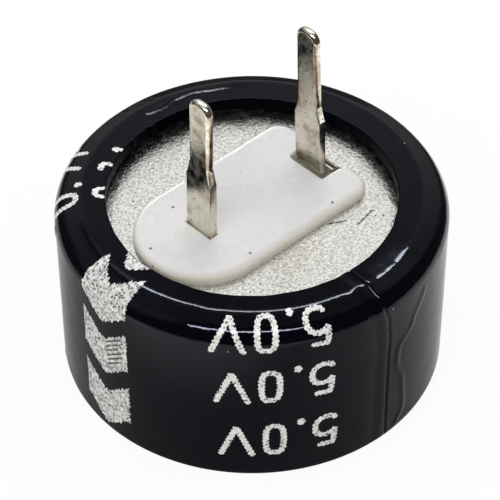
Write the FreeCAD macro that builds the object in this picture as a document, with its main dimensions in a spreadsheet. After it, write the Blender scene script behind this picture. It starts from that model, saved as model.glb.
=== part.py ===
import FreeCAD, Part
import os
import Sketcher

# A coin-stack supercapacitor on its closed end, terminals up. Millimetres, +Z up, origin at the
# centre of the closed end. X runs from the positive terminal to the negative one.

CELL_COUNT = 6

# Driving dimensions: name, value, meaning. Angles are in degrees.
DIMENSIONS = (
    ("sleeve_wall", 0.2, "film thickness of the shrink sleeve"),
    ("base_opening", 9.6, "diameter of the bare round that the sleeve leaves on the closed end"),
    ("hem_depth", 0.52, "how far the sleeve's hem hangs inside the mouth, from the crest"),
    ("hem_bevel", 0.08, "bevel of the hem's inner top edge"),
    ("foot_bevel", 0.1, "bevel of the sleeve's bottom edge"),
    ("case_diameter", 13.1, "outside diameter of the steel case"),
    ("case_wall", 0.35, "sheet thickness of the case"),
    ("rim_run", 0.86, "how far the rim's slope runs in from the case's wall to the flat lip"),
    ("rim_slope", 22.0, "fall of the rim's slope, from level"),
    ("lip_width", 0.54, "width of the case's flat lip, from its slope to the mouth"),
    ("shoulder_bend", 0.65, "outside radius of the sleeve between the rim's slope and the wall"),
    ("fit_gap", 0.05, "clearance between nested pieces"),
    ("liner_wall", 0.15, "thickness of the insulating liner"),
    ("cell_height", 0.8, "height of a cell"),
    ("sheet_thickness", 0.3, "sheet of the end plate, the contact plate and their terminals"),
    ("contact_margin", 0.15, "how far the contact plate's edge stays inside the cells' edge"),
    ("coined_width", 0.5, "width of the end plate's sloping rim under the case's slope"),
    ("washer_thickness", 0.4, "thickness of the insulating washer"),
    ("pitch", 5.08, "distance between the terminals' centres"),
    ("shift_along", 0.105, "how far the terminals' middle stands off the case's axis, along X"),
    ("shift_across", -0.145, "how far the terminals' middle stands off the case's axis, along Y"),
    ("terminal_width", 1.19, "width of a terminal's broad lower part"),
    ("terminal_neck", 0.95, "width of a terminal's narrow upper part"),
    ("positive_reach", 5.28, "height of the positive terminal's tip above the sleeve's crest"),
    ("negative_reach", 5.66, "height of the negative terminal's tip above the sleeve's crest"),
    ("positive_neck", 3.23, "height above the end plate at which the positive narrow part starts"),
    ("negative_neck", 3.05, "height above the end plate at which the negative narrow part starts"),
    ("positive_spring", 1.0, "angle by which the positive terminal's bend has sprung open"),
    ("negative_spring", 2.2, "angle by which the negative terminal's bend has sprung open"),
    ("neck_taper", 0.57, "height of the tapered shoulders below the narrow part"),
    ("neck_bevel", 0.09, "coined bevel along the narrow part's edges"),
    ("tip_round", 0.42, "corner radius of a terminal's tip"),
    ("bend_radius", 0.5, "inside radius of the bend between a plate and its terminal"),
    ("lance_gap", 0.12, "width of the cuts beside a terminal where it leaves its plate"),
    ("insulator_margin", 0.215, "space between the insulator's round end and the sleeve's hem"),
    ("insulator_height", 0.47, "how far the insulator stands above the end plate"),
    ("insulator_overhang", 0.72, "length of the insulator beyond the negative terminal's centre"),
    ("insulator_corner", 0.65, "outer corner radius of the insulator's notched end"),
    ("insulator_edge", 0.2, "bevel of the insulator's top edge"),
    ("notch_near", 0.385, "space in the insulator's notch on the terminal's -Y side"),
    ("notch_far", 0.07, "space in the insulator's notch on the terminal's +Y side"),
    ("notch_gap", 0.3, "space between the notch's back wall and the negative terminal"),
    ("notch_corner", 0.44, "corner radius at the notch's mouth"),
    ("boss_wall", 0.3, "wall of the insulator's boss round the positive terminal"),
)

# Levels and places worked out from the driving dimensions, all heights from the closed end.
DERIVED = (
    ("case_radius", "sizes.case_diameter / 2"),
    ("sleeve_radius", "case_radius + sizes.sleeve_wall"),
    ("bore_radius", "case_radius - sizes.case_wall"),
    ("liner_radius", "bore_radius - sizes.fit_gap"),
    ("cell_radius", "liner_radius - sizes.liner_wall - sizes.fit_gap"),
    ("contact_radius", "cell_radius - sizes.contact_margin"),
    ("floor_top", "sizes.sleeve_wall + sizes.case_wall"),
    ("stack_top", f"floor_top + {CELL_COUNT} * sizes.cell_height"),
    ("contact_top", "stack_top + sizes.sheet_thickness"),
    ("washer_top", "contact_top + sizes.washer_thickness"),
    ("face", "washer_top + sizes.sheet_thickness"),
    ("case_top", "face + sizes.case_wall"),
    ("crest", "case_top + sizes.sleeve_wall"),
    ("positive_tip", "crest + sizes.positive_reach"),
    ("negative_tip", "crest + sizes.negative_reach"),
    ("insulator_top", "face + sizes.insulator_height"),
    ("fall", "tan(sizes.rim_slope)"),
    ("crest_radius", "case_radius - sizes.rim_run"),
    ("case_shoulder", "case_top - sizes.rim_run * fall"),
    ("sleeve_crest_radius", "crest_radius + sizes.sleeve_wall * tan(sizes.rim_slope / 2)"),
    ("sleeve_shoulder", "crest - (sleeve_radius - sleeve_crest_radius) * fall"),
    ("bore_crest_radius", "crest_radius - sizes.case_wall * tan(sizes.rim_slope / 2)"),
    ("bore_shoulder", "face - (bore_radius - bore_crest_radius) * fall"),
    ("mouth_radius", "crest_radius - sizes.lip_width"),
    ("hem_radius", "mouth_radius - sizes.sleeve_wall"),
    ("hem_end", "crest - sizes.hem_depth"),
    ("half_sheet", "sizes.sheet_thickness / 2"),
    ("half_width", "sizes.terminal_width / 2"),
    ("half_neck", "sizes.terminal_neck / 2"),
    ("half_pitch", "sizes.pitch / 2"),
    ("hinge", "half_pitch + half_sheet + sizes.bend_radius"),
    ("slot_half_width", "half_width + sizes.fit_gap"),
    ("boss_half_width", "slot_half_width + sizes.boss_wall"),
    ("boss_reach", "hinge + sizes.fit_gap + sizes.boss_wall"),
    ("notch_back", "half_pitch - half_sheet - sizes.notch_gap"),
    ("notch_near_side", "half_width + sizes.notch_near"),
    ("notch_far_side", "half_width + sizes.notch_far"),
    ("round_centre", "half_pitch - sizes.shift_along"),
    ("insulator_half_width", "hem_radius - sizes.insulator_margin - round_centre"),
    ("lobe_width", "insulator_half_width - max(notch_near_side; notch_far_side)"),
    ("lobe_corner", "min(sizes.insulator_corner; lobe_width / 2)"),
    ("mouth_corner", "min(sizes.notch_corner; lobe_width / 3)"),
)

doc = FreeCAD.newDocument("supercapacitor")
sizes = doc.addObject("Spreadsheet::Sheet", "sizes")
places = doc.addObject("Spreadsheet::Sheet", "places")

for row, (alias, value, meaning) in enumerate(DIMENSIONS, start=1):
    sizes.set(f"A{row}", alias)
    sizes.set(f"B{row}", str(value))
    sizes.setAlias(f"B{row}", alias)
    sizes.set(f"C{row}", meaning)
doc.recompute()

for row, (alias, formula) in enumerate(DERIVED, start=1):
    places.set(f"A{row}", alias)
    places.set(f"B{row}", f"={formula}")
    places.setAlias(f"B{row}", alias)
doc.recompute()


def value_of(expression):
    """The number that an expression on the two sheets gives now."""
    return float(places.evalExpression(expression))


def new_body(label):
    """A body for one piece, at the part's own origin."""
    body = doc.addObject("PartDesign::Body", label)
    body.Label = label
    body.Placement = FreeCAD.Placement()
    return body


def new_sketch(body, name, plane, level="0"):
    """An empty sketch on one of the body's origin planes, moved along that plane's normal."""
    support = next(item for item in body.Origin.OriginFeatures if item.Role == plane)
    sketch = body.newObject("Sketcher::SketchObject", name)
    sketch.AttachmentSupport = [(support, "")]
    sketch.MapMode = "FlatFace"
    if level != "0":
        sketch.setExpression("AttachmentOffset.Base.z", level)
    doc.recompute()
    return sketch


def place_point(sketch, curve, end, across, up):
    """Tie one end of a curve to the sheets, by its two distances from the origin."""
    for kind, axis, expression in (("DistanceX", -2, across), ("DistanceY", -1, up)):
        if expression == "0":
            sketch.addConstraint(Sketcher.Constraint("PointOnObject", curve, end, axis))
            continue
        distance = value_of(expression)
        index = sketch.addConstraint(Sketcher.Constraint(kind, -1, 1, curve, end, distance))
        sketch.setExpression(f"Constraints[{index}]", expression)


def draw_polygon(sketch, corners):
    """A closed run of lines through corners that are given as pairs of expressions."""
    spots = [FreeCAD.Vector(value_of(across), value_of(up), 0) for across, up in corners]
    first = sketch.GeometryCount
    count = len(corners)
    for index in range(count):
        sketch.addGeometry(Part.LineSegment(spots[index], spots[(index + 1) % count]), False)
    for index in range(count):
        following = first + (index + 1) % count
        sketch.addConstraint(Sketcher.Constraint("Coincident", first + index, 2, following, 1))
    for index, (across, up) in enumerate(corners):
        place_point(sketch, first + index, 1, across, up)


def polygon_sketch(body, name, plane, corners, level="0"):
    """A sketch that holds one polygon."""
    sketch = new_sketch(body, name, plane, level)
    draw_polygon(sketch, corners)
    doc.recompute()
    return sketch


def box_corners(left, right, near, far):
    """The corners of an upright rectangle, as expressions."""
    return ((left, near), (right, near), (right, far), (left, far))


def turn(body, name, corners):
    """A solid turned about the Z axis from a half section of (radius, height) corners."""
    sketch = polygon_sketch(body, f"{name}_section", "XZ_Plane", corners)
    solid = body.newObject("PartDesign::Revolution", name)
    solid.Profile = sketch
    solid.ReferenceAxis = (sketch, ["V_Axis"])
    solid.Angle = 360
    doc.recompute()
    return solid


def pad(body, name, sketch, length, symmetric=False, reverse=False):
    """A sketch raised into a solid along its normal, or to both sides of it."""
    solid = body.newObject("PartDesign::Pad", name)
    solid.Profile = sketch
    solid.setExpression("Length", length)
    solid.SideType = "Symmetric" if symmetric else "One side"
    solid.Reversed = reverse
    doc.recompute()
    return solid


def pocket(body, name, sketch, length, symmetric=False, reverse=False):
    """A sketch cut out of the body, which has to lose volume by it."""
    before = body.Shape.Volume
    cut = body.newObject("PartDesign::Pocket", name)
    cut.Profile = sketch
    cut.setExpression("Length", length)
    cut.SideType = "Symmetric" if symmetric else "One side"
    cut.Reversed = reverse
    doc.recompute()
    if not body.Shape.Volume < before:
        raise RuntimeError(f"{name} cuts nothing")
    return cut


def edge_names(feature, wanted):
    """The names of the feature's edges that pass a test."""
    names = [f"Edge{index}" for index, edge in enumerate(feature.Shape.Edges, start=1) if wanted(edge)]
    if not names:
        raise RuntimeError(f"{feature.Name} has no such edge")
    return names


def near(first, second):
    """Whether two lengths agree closely enough to pick out an edge."""
    return abs(first - second) < 1e-4


def ring(radius, height):
    """A test for a round edge about the Z axis, at a radius and a height given as expressions."""
    wanted_radius = value_of(radius)
    wanted_height = value_of(height)

    def passes(edge):
        return (
            isinstance(edge.Curve, Part.Circle)
            and near(edge.Curve.Radius, wanted_radius)
            and near(edge.Curve.Center.z, wanted_height)
        )

    return passes


def straight_edge(direction, **middle):
    """A test for a straight edge along a direction, whose middle has the given coordinates."""
    wanted = {axis: value_of(expression) for axis, expression in middle.items()}

    def passes(edge):
        if not isinstance(edge.Curve, Part.Line):
            return False
        if abs(edge.Curve.Direction.dot(direction)) < 0.999:
            return False
        centre = edge.CenterOfMass
        return all(near(getattr(centre, axis), spot) for axis, spot in wanted.items())

    return passes


def fillet(body, name, feature, wanted, radius):
    """Round the edges that pass a test."""
    rounding = body.newObject("PartDesign::Fillet", name)
    rounding.Base = (feature, edge_names(feature, wanted))
    rounding.setExpression("Radius", radius)
    doc.recompute()
    return rounding


def chamfer(body, name, feature, wanted, size):
    """Bevel the edges that pass a test."""
    bevel = body.newObject("PartDesign::Chamfer", name)
    bevel.Base = (feature, edge_names(feature, wanted))
    bevel.setExpression("Size", size)
    doc.recompute()
    return bevel


def make_sleeve():
    """The shrink film: a turned shell over the case, with a hem in the mouth and a turned-in foot."""
    body = new_body("sleeve")
    base_radius = "sizes.base_opening / 2"
    shell = turn(body, "film", (
        (base_radius, "0"),
        ("places.sleeve_radius", "0"),
        ("places.sleeve_radius", "places.sleeve_shoulder"),
        ("places.sleeve_crest_radius", "places.crest"),
        ("places.hem_radius", "places.crest"),
        ("places.hem_radius", "places.hem_end"),
        ("places.mouth_radius", "places.hem_end"),
        ("places.mouth_radius", "places.case_top"),
        ("places.crest_radius", "places.case_top"),
        ("places.case_radius", "places.case_shoulder"),
        ("places.case_radius", "sizes.sleeve_wall"),
        (base_radius, "sizes.sleeve_wall"),
    ))
    shell = fillet(body, "shoulder", shell, ring("places.sleeve_radius", "places.sleeve_shoulder"),
                   "sizes.shoulder_bend")
    shell = chamfer(body, "hem", shell, ring("places.hem_radius", "places.crest"), "sizes.hem_bevel")
    chamfer(body, "foot", shell, ring("places.sleeve_radius", "0"), "sizes.foot_bevel")
    return body


def make_case():
    """The drawn steel cup with its rim curled in over the end plate, turned to an even wall."""
    body = new_body("case")
    turn(body, "cup", (
        ("0", "sizes.sleeve_wall"),
        ("places.case_radius", "sizes.sleeve_wall"),
        ("places.case_radius", "places.case_shoulder"),
        ("places.crest_radius", "places.case_top"),
        ("places.mouth_radius", "places.case_top"),
        ("places.mouth_radius", "places.face"),
        ("places.bore_crest_radius", "places.face"),
        ("places.bore_radius", "places.bore_shoulder"),
        ("places.bore_radius", "places.floor_top"),
        ("0", "places.floor_top"),
    ))
    return body


def along(side, distance):
    """The X place at a distance from the terminals' middle, on the side of one terminal."""
    return f"sizes.shift_along + {side} * ({distance})"


def across(distance):
    """The Y place at a distance from the terminals' middle."""
    return f"sizes.shift_across + {distance}"


def raise_terminal(body, pole, side, plate_top):
    """The strip that is cut from a plate and bent up, with tapered shoulders and a coined narrow end."""
    tip = f"places.{pole}_tip"
    lean = f"tan(sizes.{pole}_spring)"
    lean_thickness = f"sizes.sheet_thickness / cos(sizes.{pole}_spring)"
    outer_face = "places.half_pitch + places.half_sheet"
    plate_bottom = f"{plate_top} - sizes.sheet_thickness"
    root = "places.hinge + sizes.bend_radius"
    tip_face = f"{outer_face} - ({tip} - {plate_top}) * {lean}"
    bottom_corner = f"{outer_face} - {lean_thickness} + sizes.sheet_thickness * {lean}"
    strip_sketch = polygon_sketch(body, "strip_section", "XZ_Plane", (
        (along(side, root), plate_top),
        (along(side, outer_face), plate_top),
        (along(side, tip_face), tip),
        (along(side, f"{tip_face} - {lean_thickness}"), tip),
        (along(side, bottom_corner), plate_bottom),
        (along(side, root), plate_bottom),
    ), level="-sizes.shift_across")
    strip = pad(body, "strip", strip_sketch, "sizes.terminal_width", symmetric=True)
    across_strip = FreeCAD.Vector(0, 1, 0)
    inner_bend = straight_edge(across_strip, x=along(side, outer_face), z=plate_top)
    strip = fillet(body, "inner_bend", strip, inner_bend, "sizes.bend_radius")
    outer_bend = straight_edge(across_strip, x=along(side, bottom_corner), z=plate_bottom)
    strip = fillet(body, "outer_bend", strip, outer_bend, "sizes.bend_radius + sizes.sheet_thickness")

    neck_top = f"(places.face + sizes.{pole}_neck)"
    neck_foot = f"({neck_top} - sizes.neck_taper)"
    above_tip = f"{tip} + sizes.terminal_neck"
    beyond_side = "places.half_width + sizes.terminal_neck"
    neck_sketch = new_sketch(body, "neck_outline", "YZ_Plane")
    for sign in ("+", "-"):
        draw_polygon(neck_sketch, (
            (f"sizes.shift_across {sign} places.half_width", neck_foot),
            (f"sizes.shift_across {sign} places.half_neck", neck_top),
            (f"sizes.shift_across {sign} places.half_neck", above_tip),
            (f"sizes.shift_across {sign} ({beyond_side})", above_tip),
            (f"sizes.shift_across {sign} ({beyond_side})", neck_foot),
        ))
    doc.recompute()
    strip = pocket(body, "neck", neck_sketch, "2 * sizes.case_diameter", symmetric=True)

    through_strip = FreeCAD.Vector(1, 0, 0)
    strip = fillet(body, "tip", strip, straight_edge(through_strip, z=tip), "sizes.tip_round")
    neck_level = value_of(neck_top)

    def neck_edge(edge):
        box = edge.BoundBox
        goes_through = box.XLength > box.YLength + box.ZLength
        return box.ZMin > neck_level - 1e-4 and not goes_through

    chamfer(body, "coining", strip, neck_edge, "sizes.neck_bevel")


def make_contact_plate():
    """The positive plate on top of the cells, with its terminal bent up from it."""
    body = new_body("contact_plate")
    top = "places.contact_top"
    turn(body, "disc", (
        ("0", "places.stack_top"),
        ("places.contact_radius", "places.stack_top"),
        ("places.contact_radius", top),
        ("0", top),
    ))
    side = -1
    strip_length = "places.positive_tip - places.contact_top"
    cut_half_width = "(places.half_width + sizes.lance_gap)"
    window = polygon_sketch(body, "window_outline", "XY_Plane", box_corners(
        along(side, "places.hinge + sizes.lance_gap"),
        along(side, f"places.hinge - ({strip_length})"),
        across(f"-1 * {cut_half_width}"),
        across(cut_half_width),
    ), level=top)
    pocket(body, "window", window, "sizes.sheet_thickness")
    raise_terminal(body, "positive", side, top)
    return body


def make_washer():
    """The insulating disc between the two plates, slotted for the positive terminal and its bend."""
    body = new_body("insulating_washer")
    turn(body, "disc", (
        ("0", "places.contact_top"),
        ("places.liner_radius", "places.contact_top"),
        ("places.liner_radius", "places.washer_top"),
        ("0", "places.washer_top"),
    ))
    slot = polygon_sketch(body, "slot_outline", "XY_Plane", box_corners(
        along(-1, "places.hinge + sizes.fit_gap"),
        along(-1, "places.half_pitch - places.half_sheet - sizes.fit_gap"),
        across("-1 * places.slot_half_width"),
        across("places.slot_half_width"),
    ), level="places.washer_top")
    pocket(body, "slot", slot, "sizes.washer_thickness")
    return body


def make_end_plate():
    """The negative plate under the case's rim, with a sloping rim, a window and its terminal."""
    body = new_body("end_plate")
    flat_radius = "places.bore_crest_radius - sizes.fit_gap"
    radius = f"{flat_radius} + sizes.coined_width"
    turn(body, "disc", (
        ("0", "places.washer_top"),
        (radius, "places.washer_top"),
        (radius, "places.face - sizes.coined_width * places.fall"),
        (flat_radius, "places.face"),
        ("0", "places.face"),
    ))
    side = 1
    lance_end = along(side, "places.hinge + sizes.lance_gap")
    lance_half_width = "(places.half_width + sizes.lance_gap)"
    step = along(side, "places.notch_back")
    far_end = along(side, "-1 * (places.boss_reach + sizes.fit_gap)")
    half_width = "(places.boss_half_width + sizes.fit_gap)"
    window = polygon_sketch(body, "window_outline", "XY_Plane", (
        (lance_end, across(f"-1 * {lance_half_width}")),
        (lance_end, across(lance_half_width)),
        (step, across(lance_half_width)),
        (step, across(half_width)),
        (far_end, across(half_width)),
        (far_end, across(f"-1 * {half_width}")),
        (step, across(f"-1 * {half_width}")),
        (step, across(f"-1 * {lance_half_width}")),
    ), level="places.face")
    pocket(body, "window", window, "sizes.sheet_thickness")
    raise_terminal(body, "negative", side, "places.face")
    return body


def make_insulator():
    """The white moulding: a round-ended plate with a notch, a slot, and a boss in the end plate's window."""
    body = new_body("base_insulator")
    half = "places.insulator_half_width"
    round_centre = "-places.round_centre"
    square_end = along(1, "places.half_pitch + sizes.insulator_overhang")
    outline = new_sketch(body, "plate_outline", "XY_Plane", "places.face")
    low = value_of(across(f"-1 * {half}"))
    high = value_of(across(half))
    left = value_of(round_centre)
    right = value_of(square_end)
    middle = FreeCAD.Vector(left, value_of("sizes.shift_across"), 0)
    spots = (
        FreeCAD.Vector(left, low, 0),
        FreeCAD.Vector(right, low, 0),
        FreeCAD.Vector(right, high, 0),
        FreeCAD.Vector(left, high, 0),
    )
    for start, end in zip(spots, spots[1:]):
        outline.addGeometry(Part.LineSegment(start, end), False)
    round_end = Part.Arc(spots[3], middle - FreeCAD.Vector(value_of(half), 0, 0), spots[0])
    outline.addGeometry(round_end, False)
    arc = 3
    outline.addConstraint(Sketcher.Constraint("Coincident", 0, 2, 1, 1))
    outline.addConstraint(Sketcher.Constraint("Coincident", 1, 2, 2, 1))
    outline.addConstraint(Sketcher.Constraint("Tangent", 2, 2, arc, 1))
    outline.addConstraint(Sketcher.Constraint("Tangent", arc, 2, 0, 1))
    outline.addConstraint(Sketcher.Constraint("Vertical", 1))
    outline.addConstraint(Sketcher.Constraint("Horizontal", 0))
    place_point(outline, 1, 1, square_end, across(f"-1 * {half}"))
    place_point(outline, arc, 3, round_centre, "sizes.shift_across")
    doc.recompute()
    plate = pad(body, "plate", outline, "sizes.insulator_height")

    upright = FreeCAD.Vector(0, 0, 1)
    plate = fillet(body, "corners", plate, straight_edge(upright, x=square_end), "places.lobe_corner")
    top = value_of("places.insulator_top")

    def on_top(edge):
        return near(edge.BoundBox.ZMin, top) and near(edge.BoundBox.ZMax, top)

    chamfer(body, "top_edge", plate, on_top, "sizes.insulator_edge")

    boss_sketch = polygon_sketch(body, "boss_outline", "XY_Plane", box_corners(
        along(-1, "places.boss_reach"),
        along(1, "places.notch_back - sizes.fit_gap"),
        across("-1 * places.boss_half_width"),
        across("places.boss_half_width"),
    ), level="places.face")
    pad(body, "boss", boss_sketch, "sizes.sheet_thickness", reverse=True)

    notch_sides = (across("-1 * places.notch_near_side"), across("places.notch_far_side"))
    notch_sketch = polygon_sketch(body, "notch_outline", "XY_Plane", box_corners(
        along(1, "places.notch_back"),
        along(1, "places.half_pitch + 2 * sizes.insulator_overhang"),
        *notch_sides,
    ), level="places.insulator_top")
    notched = pocket(body, "notch", notch_sketch, "sizes.insulator_height")

    def notch_mouth(edge):
        at_end = near(edge.BoundBox.XMax, right) and near(edge.BoundBox.XMin, right)
        return at_end and any(near(edge.CenterOfMass.y, value_of(side)) for side in notch_sides)

    fillet(body, "notch_mouth", notched, notch_mouth, "places.mouth_corner")

    slot_sketch = polygon_sketch(body, "slot_outline", "XY_Plane", box_corners(
        along(-1, "places.half_pitch + places.half_sheet + sizes.fit_gap"),
        along(-1, "places.half_pitch - places.half_sheet - sizes.fit_gap"),
        across("-1 * places.slot_half_width"),
        across("places.slot_half_width"),
    ), level="places.insulator_top")
    pocket(body, "slot", slot_sketch, "sizes.insulator_height + sizes.sheet_thickness")
    bend_sketch = polygon_sketch(body, "bend_room_outline", "XY_Plane", box_corners(
        along(-1, "places.hinge + sizes.fit_gap"),
        along(-1, "places.half_pitch - places.half_sheet - sizes.fit_gap"),
        across("-1 * places.slot_half_width"),
        across("places.slot_half_width"),
    ), level="places.washer_top")
    bend_room = "sizes.bend_radius - sizes.washer_thickness + sizes.fit_gap"
    pocket(body, "bend_room", bend_sketch, bend_room, reverse=True)
    return body


def make_liner():
    """The insulating tube round the cells and the contact plate."""
    body = new_body("liner")
    outer = "places.liner_radius"
    inner = f"{outer} - sizes.liner_wall"
    turn(body, "tube", (
        (inner, "places.floor_top"),
        (outer, "places.floor_top"),
        (outer, "places.contact_top"),
        (inner, "places.contact_top"),
    ))
    return body


def make_cell(number):
    """One sealed cell of the stack, counted from the case's floor."""
    body = new_body(f"cell_{number}")
    bottom = f"places.floor_top + {number - 1} * sizes.cell_height"
    top = f"places.floor_top + {number} * sizes.cell_height"
    turn(body, "disc", (
        ("0", bottom),
        ("places.cell_radius", bottom),
        ("places.cell_radius", top),
        ("0", top),
    ))
    return body


def check(pieces):
    """Stop unless every object came out and every piece is one valid solid."""
    for item in doc.Objects:
        if "Invalid" in item.State or "Error" in item.State:
            raise RuntimeError(f"{item.Name} failed: {item.State}")
    for piece in pieces:
        shape = piece.Shape
        if shape.isNull() or not shape.isValid() or len(shape.Solids) != 1:
            raise RuntimeError(f"{piece.Label} is not one valid solid")


pieces = [
    make_sleeve(),
    make_case(),
    make_liner(),
    *(make_cell(number) for number in range(1, CELL_COUNT + 1)),
    make_contact_plate(),
    make_washer(),
    make_end_plate(),
    make_insulator(),
]
doc.recompute()
check(pieces)

os.makedirs("parts", exist_ok=True)
for piece in pieces:
    piece.Shape.exportStep(f"parts/{piece.Label}.step")
    box = piece.Shape.BoundBox
    print(f"{piece.Label}: {piece.Shape.Volume:.2f} mm3, z {box.ZMin:.2f} to {box.ZMax:.2f}")
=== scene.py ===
"""Looks of a coin-stack supercapacitor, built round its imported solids. Metres, +Z up."""
import logging
import math
from dataclasses import dataclass, field
from enum import Enum
from itertools import product

import bmesh
import bpy
from mathutils import Matrix, Vector, noise
from mathutils.bvhtree import BVHTree


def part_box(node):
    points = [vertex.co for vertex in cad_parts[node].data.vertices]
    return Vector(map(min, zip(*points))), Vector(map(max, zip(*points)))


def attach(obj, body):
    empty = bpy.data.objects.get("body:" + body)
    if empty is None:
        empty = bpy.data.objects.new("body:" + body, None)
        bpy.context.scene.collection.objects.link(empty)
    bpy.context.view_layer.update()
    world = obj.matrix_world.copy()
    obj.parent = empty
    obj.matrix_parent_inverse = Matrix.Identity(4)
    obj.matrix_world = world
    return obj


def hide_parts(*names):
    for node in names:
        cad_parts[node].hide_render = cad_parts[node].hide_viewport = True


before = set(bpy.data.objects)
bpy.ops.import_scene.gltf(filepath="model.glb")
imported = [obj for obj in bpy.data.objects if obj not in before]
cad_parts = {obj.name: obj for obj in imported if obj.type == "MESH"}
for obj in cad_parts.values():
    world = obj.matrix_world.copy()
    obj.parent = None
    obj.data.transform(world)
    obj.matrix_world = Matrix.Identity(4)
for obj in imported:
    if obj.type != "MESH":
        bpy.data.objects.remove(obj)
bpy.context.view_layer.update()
LOG = logging.getLogger("supercapacitor")

MM = 0.001
UP = Vector((0.0, 0.0, 1.0))
ORIGIN = Vector((0.0, 0.0, 0.0))
BODY = "root"
ROUNDING = "bevel_weight_edge"
FAR = 999.0
VIEW_AZIMUTH = -43.0

Point = tuple[float, float]
Triple = tuple[float, float, float]
Colour = Triple
Ends = tuple[Point, Point]
Window = tuple[float, float, float, float]
Corner = tuple[Vector, float, int]
Mesh, Face, Edge, Vert = bmesh.types.BMesh, bmesh.types.BMFace, bmesh.types.BMEdge, bmesh.types.BMVert
Node, Socket, Piece = bpy.types.Node, bpy.types.NodeSocket, bpy.types.Object
WHITE: Colour = (1.0, 1.0, 1.0)
COOL: Colour = (0.86, 0.95, 1.0)
EVEN: Triple = (1.0, 1.0, 1.0)
LEVEL: Triple = (1.0, 1.0, 0.0)


class Slot(Enum):
    """The record's material slots."""

    FILM = "sleeve_film"
    TIN = "tinned_sheet"
    RESIN = "white_resin"


class Pole(Enum):
    """The two terminals, by the side of the axis that each stands on."""

    POSITIVE = -1
    NEGATIVE = 1


def smooth_step(low: float, high: float, value: float) -> float:
    """Ease a value from 0 at low to 1 at high, which may be the smaller of the two."""
    share = min(1.0, max(0.0, (value - low) / (high - low)))
    return share * share * (3.0 - 2.0 * share)


def within(ends: Ends, value: float) -> float:
    """Ease a value in over a stretch's first end and out over its last one."""
    return smooth_step(*ends[0], value) * smooth_step(*ends[1], value)


def bell(distance: float, width: float) -> float:
    """A bell curve that is 1 at no distance and falls off over a width."""
    return math.exp(-((distance / width) ** 2))


def turn_between(first: float, second: float) -> float:
    """The signed angle from one direction to another, between minus and plus a half turn."""
    return (first - second + math.pi) % (2.0 * math.pi) - math.pi


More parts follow.
